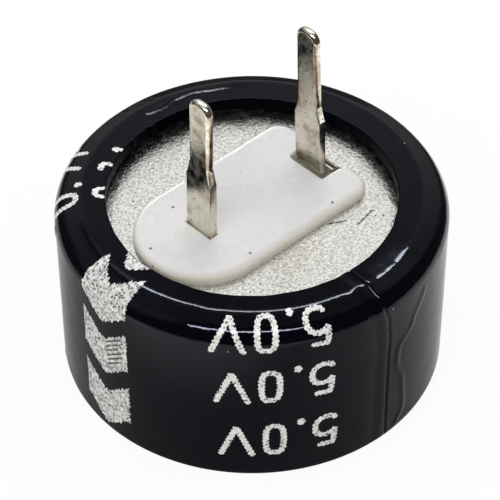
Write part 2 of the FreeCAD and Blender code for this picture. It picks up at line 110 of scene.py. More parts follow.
class Graph:
    """A node tree that is written as short expressions."""

    def __init__(self, tree: bpy.types.NodeTree) -> None:
        """Start from an empty tree."""
        self.tree = tree
        tree.nodes.clear()

    def add(self, kind: str, inputs: dict | None = None, **settings: object) -> Node:
        """Add a node and fill its sockets.

        Args:
            kind: The node's type name.
            inputs: Socket names or numbers, each with a socket to link, a value, or a list of both.
            settings: The node's own properties.

        Returns:
            The new node.
        """
        node = self.tree.nodes.new(kind)
        for name, value in settings.items():
            setattr(node, name, value)
        for name, given in (inputs or {}).items():
            socket = node.inputs[name]
            for value in given if isinstance(given, list) else [given]:
                if isinstance(value, Socket):
                    self.tree.links.new(value, socket)
                else:
                    socket.default_value = (*value, 1.0) if socket.type == "RGBA" else value
        return node

    def place(self, stretch: Triple = EVEN) -> Socket:
        """The place on the piece, stretched along its axes."""
        spot = self.add("ShaderNodeTexCoord").outputs["Object"]
        return self.add("ShaderNodeMapping", {"Vector": spot, "Scale": stretch}).outputs[0]

    def axes(self) -> Node:
        """The place on the piece, split into X, Y and Z."""
        return self.add("ShaderNodeSeparateXYZ", {"Vector": self.place()})

    def cloud(self, size: float, detail: float = 2.0, rough: float = 0.5,
              stretch: Triple = EVEN) -> Socket:
        """A soft noise from 0 to 1, by the size of its blotches and by its finer layers."""
        values = {"Vector": self.place(stretch), "Scale": 1.0 / size, "Detail": detail, "Roughness": rough}
        return self.add("ShaderNodeTexNoise", values).outputs[0]

    def cells(self, size: float) -> Socket:
        """The distance to the nearest of many scattered points, by the mean space between them."""
        values = {"Vector": self.place(), "Scale": 1.0 / size}
        return self.add("ShaderNodeTexVoronoi", values).outputs["Distance"]

    def attribute(self, name: str) -> Socket:
        """A number that the piece's vertices carry."""
        return self.add("ShaderNodeAttribute", attribute_name=name).outputs["Fac"]

    def near_line(self, start: Point, end: Point, half: float) -> Socket:
        """How close the place is to a straight mark, seen from above.

        Args:
            start: One end of the mark.
            end: Its other end.
            half: Half its width.

        Returns:
            A socket that is 1 on the mark and 0 beside it.
        """
        run = Vector((*end, 0.0)) - Vector((*start, 0.0))
        arm = self.vector("SUBTRACT", self.place(LEVEL), (*start, 0.0)).outputs[0]
        share = self.vector("DOT_PRODUCT", arm, run / run.length_squared).outputs["Value"]
        held = self.math("MINIMUM", self.most(share, 0.0), 1.0)
        foot = self.add("ShaderNodeVectorMath", {0: run, "Scale": held}, operation="SCALE").outputs[0]
        return self.between(self.vector("DISTANCE", arm, foot).outputs["Value"], half, 0.4 * half)

    def vector(self, work: str, first: object, second: object) -> Node:
        """Work on two vectors; the result may be a vector or a number."""
        return self.add("ShaderNodeVectorMath", {0: first, 1: second}, operation=work)

    def along(self, way: Vector, spot: Socket) -> Socket:
        """How far a place lies along a direction."""
        return self.vector("DOT_PRODUCT", spot, way).outputs["Value"]

    def between(self, value: Socket, low: float, high: float, start: float = 0.0,
                end: float = 1.0) -> Socket:
        """A value moved smoothly from the range low to high to start to end, and held inside it."""
        values = {"Value": value, "From Min": low, "From Max": high, "To Min": start, "To Max": end}
        return self.add("ShaderNodeMapRange", values, interpolation_type="SMOOTHSTEP").outputs[0]

    def math(self, work: str, first: object, second: object) -> Socket:
        """Work out one number from two."""
        return self.add("ShaderNodeMath", {0: first, 1: second}, operation=work).outputs[0]

    def times(self, first: object, second: object) -> Socket:
        """One number times another."""
        return self.math("MULTIPLY", first, second)

    def most(self, first: object, second: object) -> Socket:
        """The larger of two numbers."""
        return self.math("MAXIMUM", first, second)

    def blend(self, share: Socket, first: object, second: object) -> Socket:
        """Mix two colours: the first where the share is 0, the second where it is 1."""
        return self.add("ShaderNodeMix", {0: share, 6: first, 7: second}, data_type="RGBA").outputs[2]

    def either(self, share: Socket, first: Node, second: Node) -> Node:
        """Mix two shaders: the first where the share is 0, the second where it is 1."""
        return self.add("ShaderNodeMixShader", {0: share, 1: first.outputs[0], 2: second.outputs[0]})

    def relief(self, height: Socket, depth: float, under: dict | None = None) -> dict[str, Socket]:
        """A bumpy normal from a height of 0 to 1 and its real depth, added to the relief under it."""
        values = {"Height": height, "Strength": 1.0, "Distance": depth, **(under or {})}
        return {"Normal": self.add("ShaderNodeBump", values).outputs[0]}


@dataclass(frozen=True)
class Finish:
    """A surface finish, made as a material on first use."""

    name: str

    def material(self) -> bpy.types.Material:
        """Give the finish's material, and make it if it isn't there yet.

        Returns:
            The material.
        """
        found = bpy.data.materials.get(self.name)
        if found is not None:
            return found
        made = bpy.data.materials.new(self.name)
        made.use_nodes = True
        graph = Graph(made.node_tree)
        shader = graph.add("ShaderNodeBsdfPrincipled", self.sockets(graph))
        graph.add("ShaderNodeOutputMaterial", {"Surface": shader.outputs[0]})
        return made

    def sockets(self, graph: Graph) -> dict[str, object]:
        """What goes into the shader's sockets, which each finish works out in its own way."""
        raise NotImplementedError


@dataclass(frozen=True)
class ShrinkFilm(Finish):
    """Glossy blue-black shrink film with soft waves, faint scuffs and a little dust."""

    name: str = "shrink_film"
    deep: Colour = (0.0006, 0.0005, 0.0018)
    pale: Colour = (0.0014, 0.0012, 0.0036)
    dust: Colour = (0.34, 0.34, 0.36)
    cool: Colour = (0.86, 0.85, 1.0)
    gloss: float = 0.03
    scuffed: float = 0.09
    sheen: float = 0.13
    hem_sheen: float = 0.015
    hem_rough: float = 0.3
    hem_share: str = "hem"

    def sockets(self, graph: Graph) -> dict[str, object]:
        """Work out the shader's sockets.

        Args:
            graph: The material's nodes.

        Returns:
            A link or a value for each socket's name.
        """
        tone = graph.blend(graph.cloud(2.2 * MM), self.deep, self.pale)
        specks = graph.between(graph.cells(0.70 * MM), 0.055, 0.035)
        dusty = graph.times(specks, graph.between(graph.cloud(1.7 * MM), 0.53, 0.58))
        scuffs = graph.between(graph.cloud(1.1 * MM, 5.0, 0.65), 0.5, 0.8, self.gloss, self.scuffed)
        hem = graph.attribute(self.hem_share)
        sheen = graph.between(hem, 0.0, 1.0, self.sheen, self.hem_sheen)
        waves = graph.relief(graph.cloud(0.9 * MM, 1.0), 0.010 * MM)
        return {
            "Base Color": graph.blend(dusty, tone, self.dust),
            "Roughness": graph.most(scuffs, graph.times(hem, self.hem_rough)),
            "Specular IOR Level": [self.sheen, sheen], "Specular Tint": self.cool,
            **graph.relief(graph.cloud(0.19 * MM), 0.0050 * MM, waves),
        }


@dataclass(frozen=True)
class PrintInk(Finish):
    """Off-white ink from a dot printer, thin enough for the film to show through in specks."""

    name: str
    patchy_from: float
    raster: float = 0.0
    ink: Colour = (0.80, 0.795, 0.76)
    worn: Colour = (0.60, 0.59, 0.56)
    bare: Colour = (0.02, 0.02, 0.022)
    rough: float = 0.42
    sheen: float = 0.4
    rise: str = "rise"
    missed: str = "missed"

    def sockets(self, graph: Graph) -> dict[str, object]:
        """Work out the shader's sockets.

        Args:
            graph: The material's nodes.

        Returns:
            A link or a value for each socket's name.
        """
        fresh = graph.between(graph.cloud(0.13 * MM, 3.0, 0.6), 0.3, 0.7)
        tone = graph.blend(fresh, self.worn, self.ink)
        pinholes = graph.between(graph.cells(0.11 * MM), 0.48, 0.24)
        patches = graph.cloud(0.20 * MM, 3.0, 0.6)
        gaps = graph.times(pinholes, graph.between(patches, self.patchy_from, self.patchy_from + 0.09))
        if self.raster > 0.0:
            gaps = graph.most(gaps, self.missed_lines(graph))
        return {
            "Base Color": graph.blend(gaps, tone, self.bare), "Roughness": self.rough,
            "Specular IOR Level": self.sheen, **graph.relief(graph.cloud(0.09 * MM), 0.004 * MM),
        }

    def missed_lines(self, graph: Graph) -> Socket:
        """Broken lines, where the printer's passes left the film bare.

        Args:
            graph: The material's nodes.

        Returns:
            A socket that is 1 on the lines.
        """
        passes = graph.math("DIVIDE", graph.attribute(self.rise), self.raster)
        line = graph.between(graph.math("PINGPONG", passes, 0.5), 0.26, 0.16)
        dashes = graph.between(graph.cloud(0.20 * MM, 1.0), 0.40, 0.46)
        return graph.times(graph.times(line, dashes), graph.attribute(self.missed))


@dataclass(frozen=True)
class TinnedSheet(Finish):
    """Tin-plated sheet: a grain from the rolls, small pits and a warm tarnish."""

    name: str
    bright: Colour
    dull: Colour
    tarnish: Colour
    grain_size: float
    grain_depth: float
    gloss: float
    satin: float
    tarnish_from: float
    stretch: Triple = EVEN
    swell: float = 0.3
    pit: Colour = (0.06, 0.055, 0.045)
    pitted_from: float = 0.46
    scratches: tuple[tuple[Point, Point], ...] = ()
    scratch_half: float = 0.045 * MM

    def sockets(self, graph: Graph) -> dict[str, object]:
        """Work out the shader's sockets.

        Args:
            graph: The material's nodes.

        Returns:
            A link or a value for each socket's name.
        """
        grit = graph.between(graph.cloud(0.9 * self.grain_size, 2.0, 0.6), 0.34, 0.62)
        toned = graph.blend(self.stain(graph), graph.blend(grit, self.dull, self.bright), self.tarnish)
        sparse = graph.between(graph.cloud(0.6 * MM), self.pitted_from, self.pitted_from + 0.06)
        pitted = graph.times(graph.between(graph.cells(0.30 * MM), 0.15, 0.09), sparse)
        for start, end in self.scratches:
            broken = graph.between(graph.cloud(0.12 * MM, 3.0, 0.6), 0.36, 0.5)
            line = graph.times(graph.near_line(start, end, self.scratch_half), broken)
            pitted = graph.most(pitted, line)
        rough = graph.between(graph.cloud(0.35 * MM, 3.0, 0.6), 0.3, 0.7, self.gloss, self.satin)
        grain = graph.relief(graph.cloud(self.grain_size, 3.0, 0.55, self.stretch), self.grain_depth)
        swell = graph.cloud(4.0 * self.grain_size)
        return {"Base Color": graph.blend(pitted, toned, self.pit), "Metallic": 1.0, "Roughness": rough,
                **graph.relief(swell, self.swell * self.grain_depth, grain)}

    def stain(self, graph: Graph) -> Socket:
        """Where the tin is tarnished, up to 1."""
        blotches = graph.cloud(0.8 * MM, 4.0, 0.6)
        return graph.between(blotches, self.tarnish_from, self.tarnish_from + 0.22)


@dataclass(frozen=True)
class CoinedTin(TinnedSheet):
    """The tin of the terminals, which is tarnished along the coined edges of their narrow ends."""

    axis: float = -0.145 * MM
    edge_from: float = 0.35 * MM
    edge_to: float = 0.45 * MM
    neck_from: float = 8.9 * MM
    neck_to: float = 9.5 * MM
    neck_share: float = 0.34

    def stain(self, graph: Graph) -> Socket:
        """Where the tin is tarnished.

        Args:
            graph: The material's nodes.

        Returns:
            A socket that is 1 where the tarnish is full.
        """
        spot = graph.axes().outputs
        off = graph.math("ABSOLUTE", graph.math("SUBTRACT", spot["Y"], self.axis), 0.0)
        edge = graph.times(graph.between(off, self.edge_from, self.edge_to, self.neck_share, 1.0),
                           graph.between(spot["Z"], self.neck_from, self.neck_to))
        uneven = graph.between(graph.cloud(0.3 * MM, 3.0, 0.6), 0.35, 0.6, 0.35, 0.95)
        return graph.most(super().stain(graph), graph.times(edge, uneven))


@dataclass(frozen=True)
class WhiteResin(Finish):
    """Moulded white resin with a satin gloss and a few dark specks; painted light makes its foot warmer
    and brighter, as if lit by light bounced up from the tin.
    """

    name: str = "moulded_resin"
    top: Colour = (0.67, 0.668, 0.675)
    # painted light: the foot of the sides is painted warmer and brighter than the top, standing in for
    # light bounced up from the tin
    foot: Colour = (0.92, 0.86, 0.75)
    smudge: Colour = (0.62, 0.60, 0.57)
    speck: Colour = (0.10, 0.09, 0.08)
    painted_bounce_full: float = 6.56 * MM
    painted_bounce_end: float = 6.86 * MM
    notch: Triple = (2.6 * MM, -0.145 * MM, 0.0)
    glow_share: float = 0.5
    glow_tint: Triple = (1.0, 0.75, 0.55)
    glow_depth: float = 0.4 * MM

    def sockets(self, graph: Graph) -> dict[str, object]:
        """Work out the shader's sockets.

        Args:
            graph: The material's nodes.

        Returns:
            A link or a value for each socket's name.
        """
        # painted light: the painted bounce colour is full at the foot and gone at the top, and is left out
        # near the notch
        rise = graph.between(graph.axes().outputs["Z"], self.painted_bounce_full, self.painted_bounce_end)
        away = graph.vector("DISTANCE", graph.place(LEVEL), self.notch).outputs["Value"]
        unpainted_near_notch = graph.between(away, 1.5 * MM, 1.1 * MM)
        tone = graph.blend(graph.most(rise, unpainted_near_notch), self.foot, self.top)
        smudged = graph.between(graph.cloud(1.6 * MM), 0.4, 0.9, 0.0, 0.35)
        toned = graph.blend(smudged, tone, self.smudge)
        sparse = graph.between(graph.cloud(0.9 * MM), 0.50, 0.54)
        dotted = graph.times(graph.between(graph.cells(0.55 * MM), 0.12, 0.07), sparse)
        return {
            "Base Color": graph.blend(dotted, toned, self.speck),
            "Roughness": graph.between(graph.cloud(0.6 * MM, 3.0), 0.3, 0.7, 0.24, 0.30),
            "Subsurface Weight": self.glow_share, "Subsurface Radius": self.glow_tint,
            "Subsurface Scale": self.glow_depth, **graph.relief(graph.cloud(0.25 * MM), 0.0016 * MM),
        }


@dataclass(frozen=True)
class PlatedSteel(Finish):
    """Nickel-plated drawn steel with faint rolling marks."""

    name: str = "plated_steel"
    bright: Colour = (0.60, 0.595, 0.57)
    dull: Colour = (0.47, 0.465, 0.44)
    rolled: Triple = (1.0, 0.06, 1.0)

    def sockets(self, graph: Graph) -> dict[str, object]:
        """Work out the shader's sockets.

        Args:
            graph: The material's nodes.

        Returns:
            A link or a value for each socket's name.
        """
        tone = graph.blend(graph.cloud(1.2 * MM, 4.0, 0.6), self.dull, self.bright)
        return {"Base Color": tone, "Metallic": 1.0,
                "Roughness": graph.between(graph.cloud(0.5 * MM, 3.0), 0.3, 0.7, 0.22, 0.38),
                **graph.relief(graph.cloud(0.12 * MM, 3.0, 0.6, self.rolled), 0.004 * MM)}


@dataclass(frozen=True)
class PlainSheet(Finish):
    """A matt plastic or rubber with a cloudy tone and a fine skin."""

    name: str
    light: Colour
    dark: Colour
    rough: float

    def sockets(self, graph: Graph) -> dict[str, object]:
        """Work out the shader's sockets."""
        tone, skin = graph.cloud(1.0 * MM, 3.0), graph.relief(graph.cloud(0.2 * MM), 0.004 * MM)
        return {"Base Color": graph.blend(tone, self.dark, self.light), "Roughness": self.rough, **skin}


FILM = ShrinkFilm()
LINE_INK = PrintInk("line_ink", 0.47)
RASTER_INK = PrintInk(
    "raster_ink", 0.36, 0.21 * MM, worn=(0.36, 0.355, 0.34), bare=(0.065, 0.064, 0.064),
)
FACE_TIN = TinnedSheet(
    name="grainy_tin", bright=(0.86, 0.858, 0.83), dull=(0.52, 0.515, 0.47), tarnish=(0.54, 0.50, 0.41),
    grain_size=0.105 * MM, grain_depth=0.0165 * MM, gloss=0.18, satin=0.28, tarnish_from=0.66,
    scratches=(
        ((2.66 * MM, -3.08 * MM), (2.05 * MM, -3.22 * MM)),
        ((2.05 * MM, -3.22 * MM), (1.83 * MM, -3.25 * MM)),
        ((1.66 * MM, -2.86 * MM), (1.14 * MM, -2.58 * MM)),
    ),
)
PIN_TIN = CoinedTin(
    name="terminal_tin", bright=(0.77, 0.735, 0.64), dull=(0.66, 0.62, 0.525), tarnish=(0.40, 0.32, 0.23),
    grain_size=0.10 * MM, grain_depth=0.0065 * MM, gloss=0.11, satin=0.25, tarnish_from=0.45,
    stretch=(1.0, 1.0, 0.35), pitted_from=0.37,
)
RESIN = WhiteResin()
STEEL = PlatedSteel()
INSULATION = PlainSheet("pale_sheet", (0.76, 0.72, 0.62), (0.68, 0.63, 0.52), 0.5)
RUBBER = PlainSheet("matt_rubber", (0.030, 0.030, 0.031), (0.016, 0.016, 0.017), 0.6)


def put(name: str, data: bpy.types.ID) -> Piece:
    """Add an object to the scene.

    Args:
        name: The object's name.
        data: Its mesh, lamp or camera.

    Returns:
        The object.
    """
    made = bpy.data.objects.new(name, data)
    bpy.context.scene.collection.objects.link(made)
    return made


def orient(mesh: Mesh) -> None:
    """Turn the faces of each shape the same way, and outwards where it is closed."""
    bmesh.ops.recalc_face_normals(mesh, faces=mesh.faces[:])


def middle_of(edge: Edge) -> Vector:
    """The place halfway along an edge."""
    return (edge.verts[0].co + edge.verts[1].co) / 2.0


def add_piece(mesh: Mesh, name: str, finish: Finish, crease: float = 40.0) -> Piece:
    """Turn a finished bmesh into a piece that rides on the part.

    Args:
        mesh: The bmesh, with its place in its vertices; it is freed.
        name: The piece's name.
        finish: The finish of all its faces.
        crease: The angle in degrees past which an edge stays sharp.

    Returns:
        The new object.
    """
    limit = math.radians(crease)
    rounded = mesh.edges.layers.float.get(ROUNDING)
    for face in mesh.faces:
        face.smooth = True
    for edge in mesh.edges:
        soft = len(edge.link_faces) != 2 or edge.calc_face_angle(0.0) < limit
        edge.smooth = soft or (rounded is not None and edge[rounded] > 0.0)
    data = bpy.data.meshes.new(name)
    mesh.to_mesh(data)
    mesh.free()
    data.materials.append(finish.material())
    piece = put(name, data)
    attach(piece, BODY)
    return piece


def round_corner(mesh: Mesh, corner: Vert, radius: float, steps: int) -> None:
    """Round one corner of a flat outline.

    Args:
        mesh: The bmesh that holds the outline as a face.
        corner: The corner's vertex.
        radius: The radius of the round.
        steps: The number of its segments.
    """
    arms = [(edge.other_vert(corner).co - corner.co).normalized() for edge in corner.link_edges]
    half_turn = (math.pi - arms[0].angle(arms[1])) / 2.0
    bmesh.ops.bevel(mesh, geom=[corner], offset=radius * math.tan(half_turn), offset_type="OFFSET",
                    segments=steps, profile=0.5, affect="VERTICES", material=-1)


def outline_face(mesh: Mesh, corners: list[Corner]) -> None:
    """Make a flat face from corners, and round those that have a radius.

    Args:
        mesh: The bmesh to build in.
        corners: Each corner's place, radius and number of segments.
    """
    verts = [mesh.verts.new(place) for place, _, _ in corners]
    mesh.faces.new(verts)
    for vert, (_, radius, steps) in zip(verts, corners):
        if radius > 0.0:
            round_corner(mesh, vert, radius, steps)


def score(mesh: Mesh, window: Window,
          spared: tuple[Face, ...] = ()) -> list[Face]:
    """Cut the lines of a rectangle into a flat sheet.

    Args:
        mesh: The sheet, which lies level.
        window: The rectangle's lowest and highest X, and its lowest and highest Y.
        spared: Faces that the lines stop at.

    Returns:
        The faces inside the rectangle.
    """
    low_x, high_x, low_y, high_y = window
    lines = (((low_x, 0, 0), (1, 0, 0)), ((high_x, 0, 0), (1, 0, 0)),
             ((0, low_y, 0), (0, 1, 0)), ((0, high_y, 0), (0, 1, 0)))
    for place, way in lines:
        cut = [face for face in mesh.faces if face not in spared]
        edges = {edge for face in cut for edge in face.edges}
        verts = {vert for face in cut for vert in face.verts}
        bmesh.ops.bisect_plane(mesh, geom=[*verts, *edges, *cut], dist=1e-8, plane_co=place, plane_no=way)
    inside = []
    for face in mesh.faces:
        middle = face.calc_center_median()
        if low_x < middle.x < high_x and low_y < middle.y < high_y:
            inside.append(face)
    return inside


def inset(mesh: Mesh, width: float) -> list[Face]:
    """Cut a margin of even width into a flat sheet, and give back the margin's faces."""
    options = {"use_boundary": True, "use_even_offset": True}
    return bmesh.ops.inset_region(mesh, faces=mesh.faces[:], thickness=width, **options)["faces"]


def extrude(mesh: Mesh, faces: list[Face], move: Vector) -> list[Vert]:
    """Draw faces out along a line.

    Args:
        mesh: The bmesh that holds the faces.
        faces: The faces to draw out.
        move: How far they go.

    Returns:
        The moved vertices.
    """
    made = bmesh.ops.extrude_face_region(mesh, geom=faces)["geom"]
    moved = [item for item in made if isinstance(item, Vert)]
    bmesh.ops.translate(mesh, verts=moved, vec=move)
    return moved


def round_edges(piece: Piece, width: float, steps: int) -> None:
    """Round a piece's weighted edges, and keep its flat faces flat.

    Args:
        piece: The piece, whose edges carry bevel weights.
        width: The width of the round at full weight.
        steps: The number of its segments.
    """
    rounding = piece.modifiers.new("rounding", "BEVEL")
    rounding.limit_method = "WEIGHT"
    rounding.width = width
    rounding.segments = steps
    rounding.profile = 0.5
    rounding.use_clamp_overlap = False
    flat = piece.modifiers.new("flat_faces", "WEIGHTED_NORMAL")
    flat.keep_sharp = True


@dataclass
class Sleeve:
    """The shrink film: a turned shell with an uneven hem, a lengthwise fold and soft wrinkles."""

    radius: float
    crest: float
    case_radius: float
    case_top: float
    floor: float
    slack: float = 0.042 * MM
    wall: float = 0.2 * MM
    base_radius: float = 4.8 * MM
    rim_run: float = 0.76 * MM
    rim_slope: float = math.radians(22.0)
    lip_width: float = 0.64 * MM
    lip_dish: float = 0.035 * MM
    hem_depth: float = 0.52 * MM
    shoulder_bend: float = 0.65 * MM
    crest_bend: float = 0.45 * MM
    steps: int = 540
    rim_step: float = 0.05 * MM
    wall_step: float = 0.13 * MM
    crowding: float = 0.55
    front: float = math.radians(VIEW_AZIMUTH - 90.0)
    fold_angle: float = math.radians(42.1)
    fold_lean: float = math.radians(-3.0)
    # Wandering lines: a height in millimetres with its bearing, and a bearing with its radius.
    wrinkle: tuple[Point, ...] = (
        (5.75, 58.0), (4.70, 52.3), (3.95, 46.2), (3.35, 45.8), (2.25, 48.8), (0.95, 49.7), (0.20, 46.6),
    )
    rim_wrinkle: tuple[Point, ...] = (
        (-135.8, 5.74), (-138.3, 5.48), (-143.9, 5.41), (-152.1, 5.57), (-157.9, 5.63), (-165.3, 5.57),
        (-179.0, 5.60),
    )
    # Stretches in degrees: for each end, where the effect is nothing and where it is full.
    rim_wrinkle_ends: Ends = ((-182.0, -164.0), (-135.8, -137.5))
    beside_fold: Ends = ((1.0, 5.0), (24.0, 14.0))
    print_ends: Ends = ((-37.0, -40.0), (-80.0, -70.0))
    wrinkle_top: float = 6.2 * MM
    fold_rise: Point = (5.2 * MM, 6.9 * MM)
    fold_sway: float = math.radians(0.8)
    # In millimetres: the waves' height and size, and the ridges' height, place (if any) and width.
    waves: tuple[Point, ...] = ((0.007, 1.7), (0.003, 0.6))
    fold_ridges: tuple[Triple, ...] = (
        (-0.036, 0.0, 0.032), (0.008, 0.13, 0.09), (-0.014, -0.55, 0.20), (0.010, -0.20, 0.14),
    )
    wrinkle_ridge: Point = (0.031, 0.12)
    rim_ridge: Point = (0.025, 0.105)
    fold_flat: Point = (0.045, 0.34)
    # The depth in millimetres of a dent and of tears in the hem, with their bearings and widths.
    rim_dent: Triple = (0.02, math.radians(-14.0), 0.35 * MM)
    tears: tuple[Triple, ...] = (
        (0.05, math.radians(-134.5), 0.02), (0.04, math.radians(-123.0), 0.015),
    )
    surface: BVHTree = field(init=False, repr=False)

    @property
    def crest_radius(self) -> float:
        """The radius of the ridge where the rim's slope meets its lip."""
        return self.case_radius - self.rim_run + self.wall * math.tan(self.rim_slope / 2.0)

    @property
    def shoulder(self) -> float:
        """The height at which the slope would meet the wall."""
        return self.crest - (self.radius - self.crest_radius) * math.tan(self.rim_slope)

    @property
    def mouth_radius(self) -> float:
        """The radius of the case's mouth, behind the hem."""
        return self.case_radius - self.rim_run - self.lip_width

    @property
    def hem_radius(self) -> float:
        """The radius of the hem's free face."""
        return self.mouth_radius - self.wall

    def outline(self) -> list[Corner]:
        """The half section of the film, as corners with their rounds.

        Returns:
            Each corner's place, radius and number of segments.
        """
        wall_radius = self.radius - self.slack
        case_shoulder = self.case_top - self.rim_run * math.tan(self.rim_slope)
        hem_end = self.crest - self.hem_depth
        rows = (
            (self.base_radius, 0.0, 0.06 * MM, 3),
            (wall_radius, 0.0, 0.14 * MM, 6),
            (wall_radius, self.shoulder, self.shoulder_bend, 18),
            (self.crest_radius, self.crest, self.crest_bend, 8),
            (self.hem_radius, self.crest - self.lip_dish, 0.03 * MM, 3),
            (self.hem_radius, hem_end, 0.05 * MM, 3),
            (self.mouth_radius, hem_end, 0.0, 0),
            (self.mouth_radius, self.case_top, 0.0, 0),
            (self.case_radius - self.rim_run, self.case_top, 0.0, 0),
            (self.case_radius, case_shoulder, 0.0, 0),
            (self.case_radius, self.floor, 0.0, 0),
            (self.base_radius, self.floor, 0.04 * MM, 2),
        )
        return [(Vector((across, 0.0, up)), bend, steps) for across, up, bend, steps in rows]

    def build(self) -> Piece:
        """Turn the film, press its folds into it and make it a piece.

        Returns:
            The sleeve.
        """
        mesh = bmesh.new()
        outline_face(mesh, self.outline())
        bmesh.ops.delete(mesh, geom=mesh.faces[:], context="FACES_ONLY")
        self.divide(mesh)
        bmesh.ops.spin(mesh, geom=mesh.verts[:] + mesh.edges[:], cent=ORIGIN, axis=UP, dvec=ORIGIN,
                       angle=2.0 * math.pi, steps=self.steps, use_merge=True, use_duplicate=False)
        orient(mesh)
        self.crowd(mesh)
        self.mark_hem(mesh)
        self.press(mesh)
        mesh.normal_update()
        self.surface = BVHTree.FromBMesh(mesh)
        piece = add_piece(mesh, "sleeve_film", FILM)
        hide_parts("sleeve")
        return piece

    def divide(self, mesh: Mesh) -> None:
        """Cut the long straight runs of the outer half section into short ones.

        Args:
            mesh: The bmesh that holds the half section as edges.
        """
        for edge in mesh.edges[:]:
            middle = middle_of(edge)
            spacing = self.rim_step if middle.z > self.shoulder else self.wall_step
            inside = middle.x < self.case_radius + self.slack and middle.z < self.case_top + self.slack
            hidden = inside and middle.x > self.mouth_radius - self.slack and middle.z > self.floor / 2.0
            cuts = int(edge.calc_length() / spacing)
            if cuts > 0 and not hidden:
                bmesh.ops.subdivide_edges(mesh, edges=[edge], cuts=cuts)

    def mark_hem(self, mesh: Mesh) -> None:
        """Mark where the film is dull: on the hem, the rim's wrinkle and print, and the lip's front.

        Args:
            mesh: The turned film.
        """
        share = mesh.verts.layers.float.new(FILM.hem_share)
        for vert in mesh.verts:
            out = math.hypot(vert.co.x, vert.co.y)
            if vert.co.z < self.case_top - self.hem_depth:
                continue
            if out < self.hem_radius + 0.045 * MM:
                vert[share] = 1.0
            elif vert.co.z > self.case_top:
                bearing = self.bearing(vert.co)
                turn = math.degrees(bearing)
                on_lip = smooth_step(self.crest_radius + 0.05 * MM, self.crest_radius - 0.15 * MM, out)
                line = self.follow(self.rim_wrinkle, turn) * MM
                printed = within(self.print_ends, turn) * bell(out - self.crest_radius, 0.2 * MM)
                creased = bell(out - line, 0.16 * MM)
                front = on_lip * (0.5 + 0.45 * math.cos(bearing))
                vert[share] = max(front, 0.55 * creased, 0.9 * printed)

    def crowd(self, mesh: Mesh) -> None:
        """Turn the film's lengthwise lines closer together near the fold.

        Args:
            mesh: The turned film.
        """
        for vert in mesh.verts:
            away = self.bearing(vert.co) - self.fold_angle
            turn = Matrix.Rotation(-self.crowding * math.sin(away), 3, "Z")
            vert.co = turn @ vert.co

    def press(self, mesh: Mesh) -> None:
        """Move the outer skin by its folds and waves, and the hem and the foot by their uneven edges.

        Args:
            mesh: The turned film.
        """
        mesh.normal_update()
        moves = [(vert, self.lift(vert.co) * vert.normal + self.shift(vert.co)) for vert in mesh.verts]
        for vert, move in moves:
            vert.co += move

    def bearing(self, spot: Vector) -> float:
        """The angle of a place about the axis, from the side that faces the camera."""
        return turn_between(math.atan2(spot.y, spot.x), self.front)

    def outer(self, spot: Vector) -> float:
        """How far a place belongs to the film's outer skin.

        Args:
            spot: The place on the smooth film.

        Returns:
            A share from 0 to 1.
        """
        out = math.hypot(spot.x, spot.y)
        on_wall = smooth_step(self.case_radius + 0.2 * self.wall, self.case_radius + 0.7 * self.wall, out)
        rim_height = spot.z + max(0.0, out - self.crest_radius) * math.tan(self.rim_slope)
        on_rim = smooth_step(self.case_top + 0.3 * self.wall, self.case_top + 0.7 * self.wall, rim_height)
        return max(on_wall, on_rim) * smooth_step(0.0, 0.25 * MM, spot.z)

    def lift(self, spot: Vector) -> float:
        """How far the outer skin stands out at a place.

        Args:
            spot: The place on the smooth film.

        Returns:
            The distance along the skin's normal.
        """
        share = self.outer(spot)
        if share == 0.0:
            return 0.0
        out = math.hypot(spot.x, spot.y)
        bearing = self.bearing(spot)
        turn = math.degrees(bearing)
        waves = sum(high * noise.noise(spot / (size * MM)) for high, size in self.waves)
        rise = smooth_step(*self.fold_rise, spot.z)
        sway = self.fold_sway * noise.noise(Vector((0, 0, spot.z / MM)))
        beside = turn_between(bearing, self.fold_angle + self.fold_lean * rise + sway)
        gap = beside * out / MM
        groove = sum(high * bell(gap - place, width) for high, place, width in self.fold_ridges)
        if spot.z < self.wrinkle_top:
            line = math.radians(self.follow(self.wrinkle, spot.z / MM))
            high, width = self.wrinkle_ridge
            ridge = high * bell(turn_between(bearing, line) * out, width * MM)
        else:
            line = self.follow(self.rim_wrinkle, turn)
            high, width = self.rim_ridge
            ridge = high * within(self.rim_wrinkle_ends, turn) * bell(out - line * MM, width * MM)
        deep, place, width = self.rim_dent
        dent = deep * bell(turn_between(bearing, place) * out, width) * rise
        deep, width = self.fold_flat
        deep *= within(self.beside_fold, math.degrees(beside))
        dent += deep * bell(out - self.crest_radius, width * MM)
        return share * (waves + groove + ridge - dent) * MM

    @staticmethod
    def follow(line: tuple[Point, ...], value: float) -> float:
        """Read a wandering line at a value of its first number.

        Args:
            line: The line's points, in falling order of their first number.
            value: The value to look up.

        Returns:
            The second number there, or a far one past the line's ends.
        """
        for (high, start), (low, end) in zip(line, line[1:]):
            if low <= value <= high:
                return end + (start - end) * smooth_step(low, high, value)
        return FAR

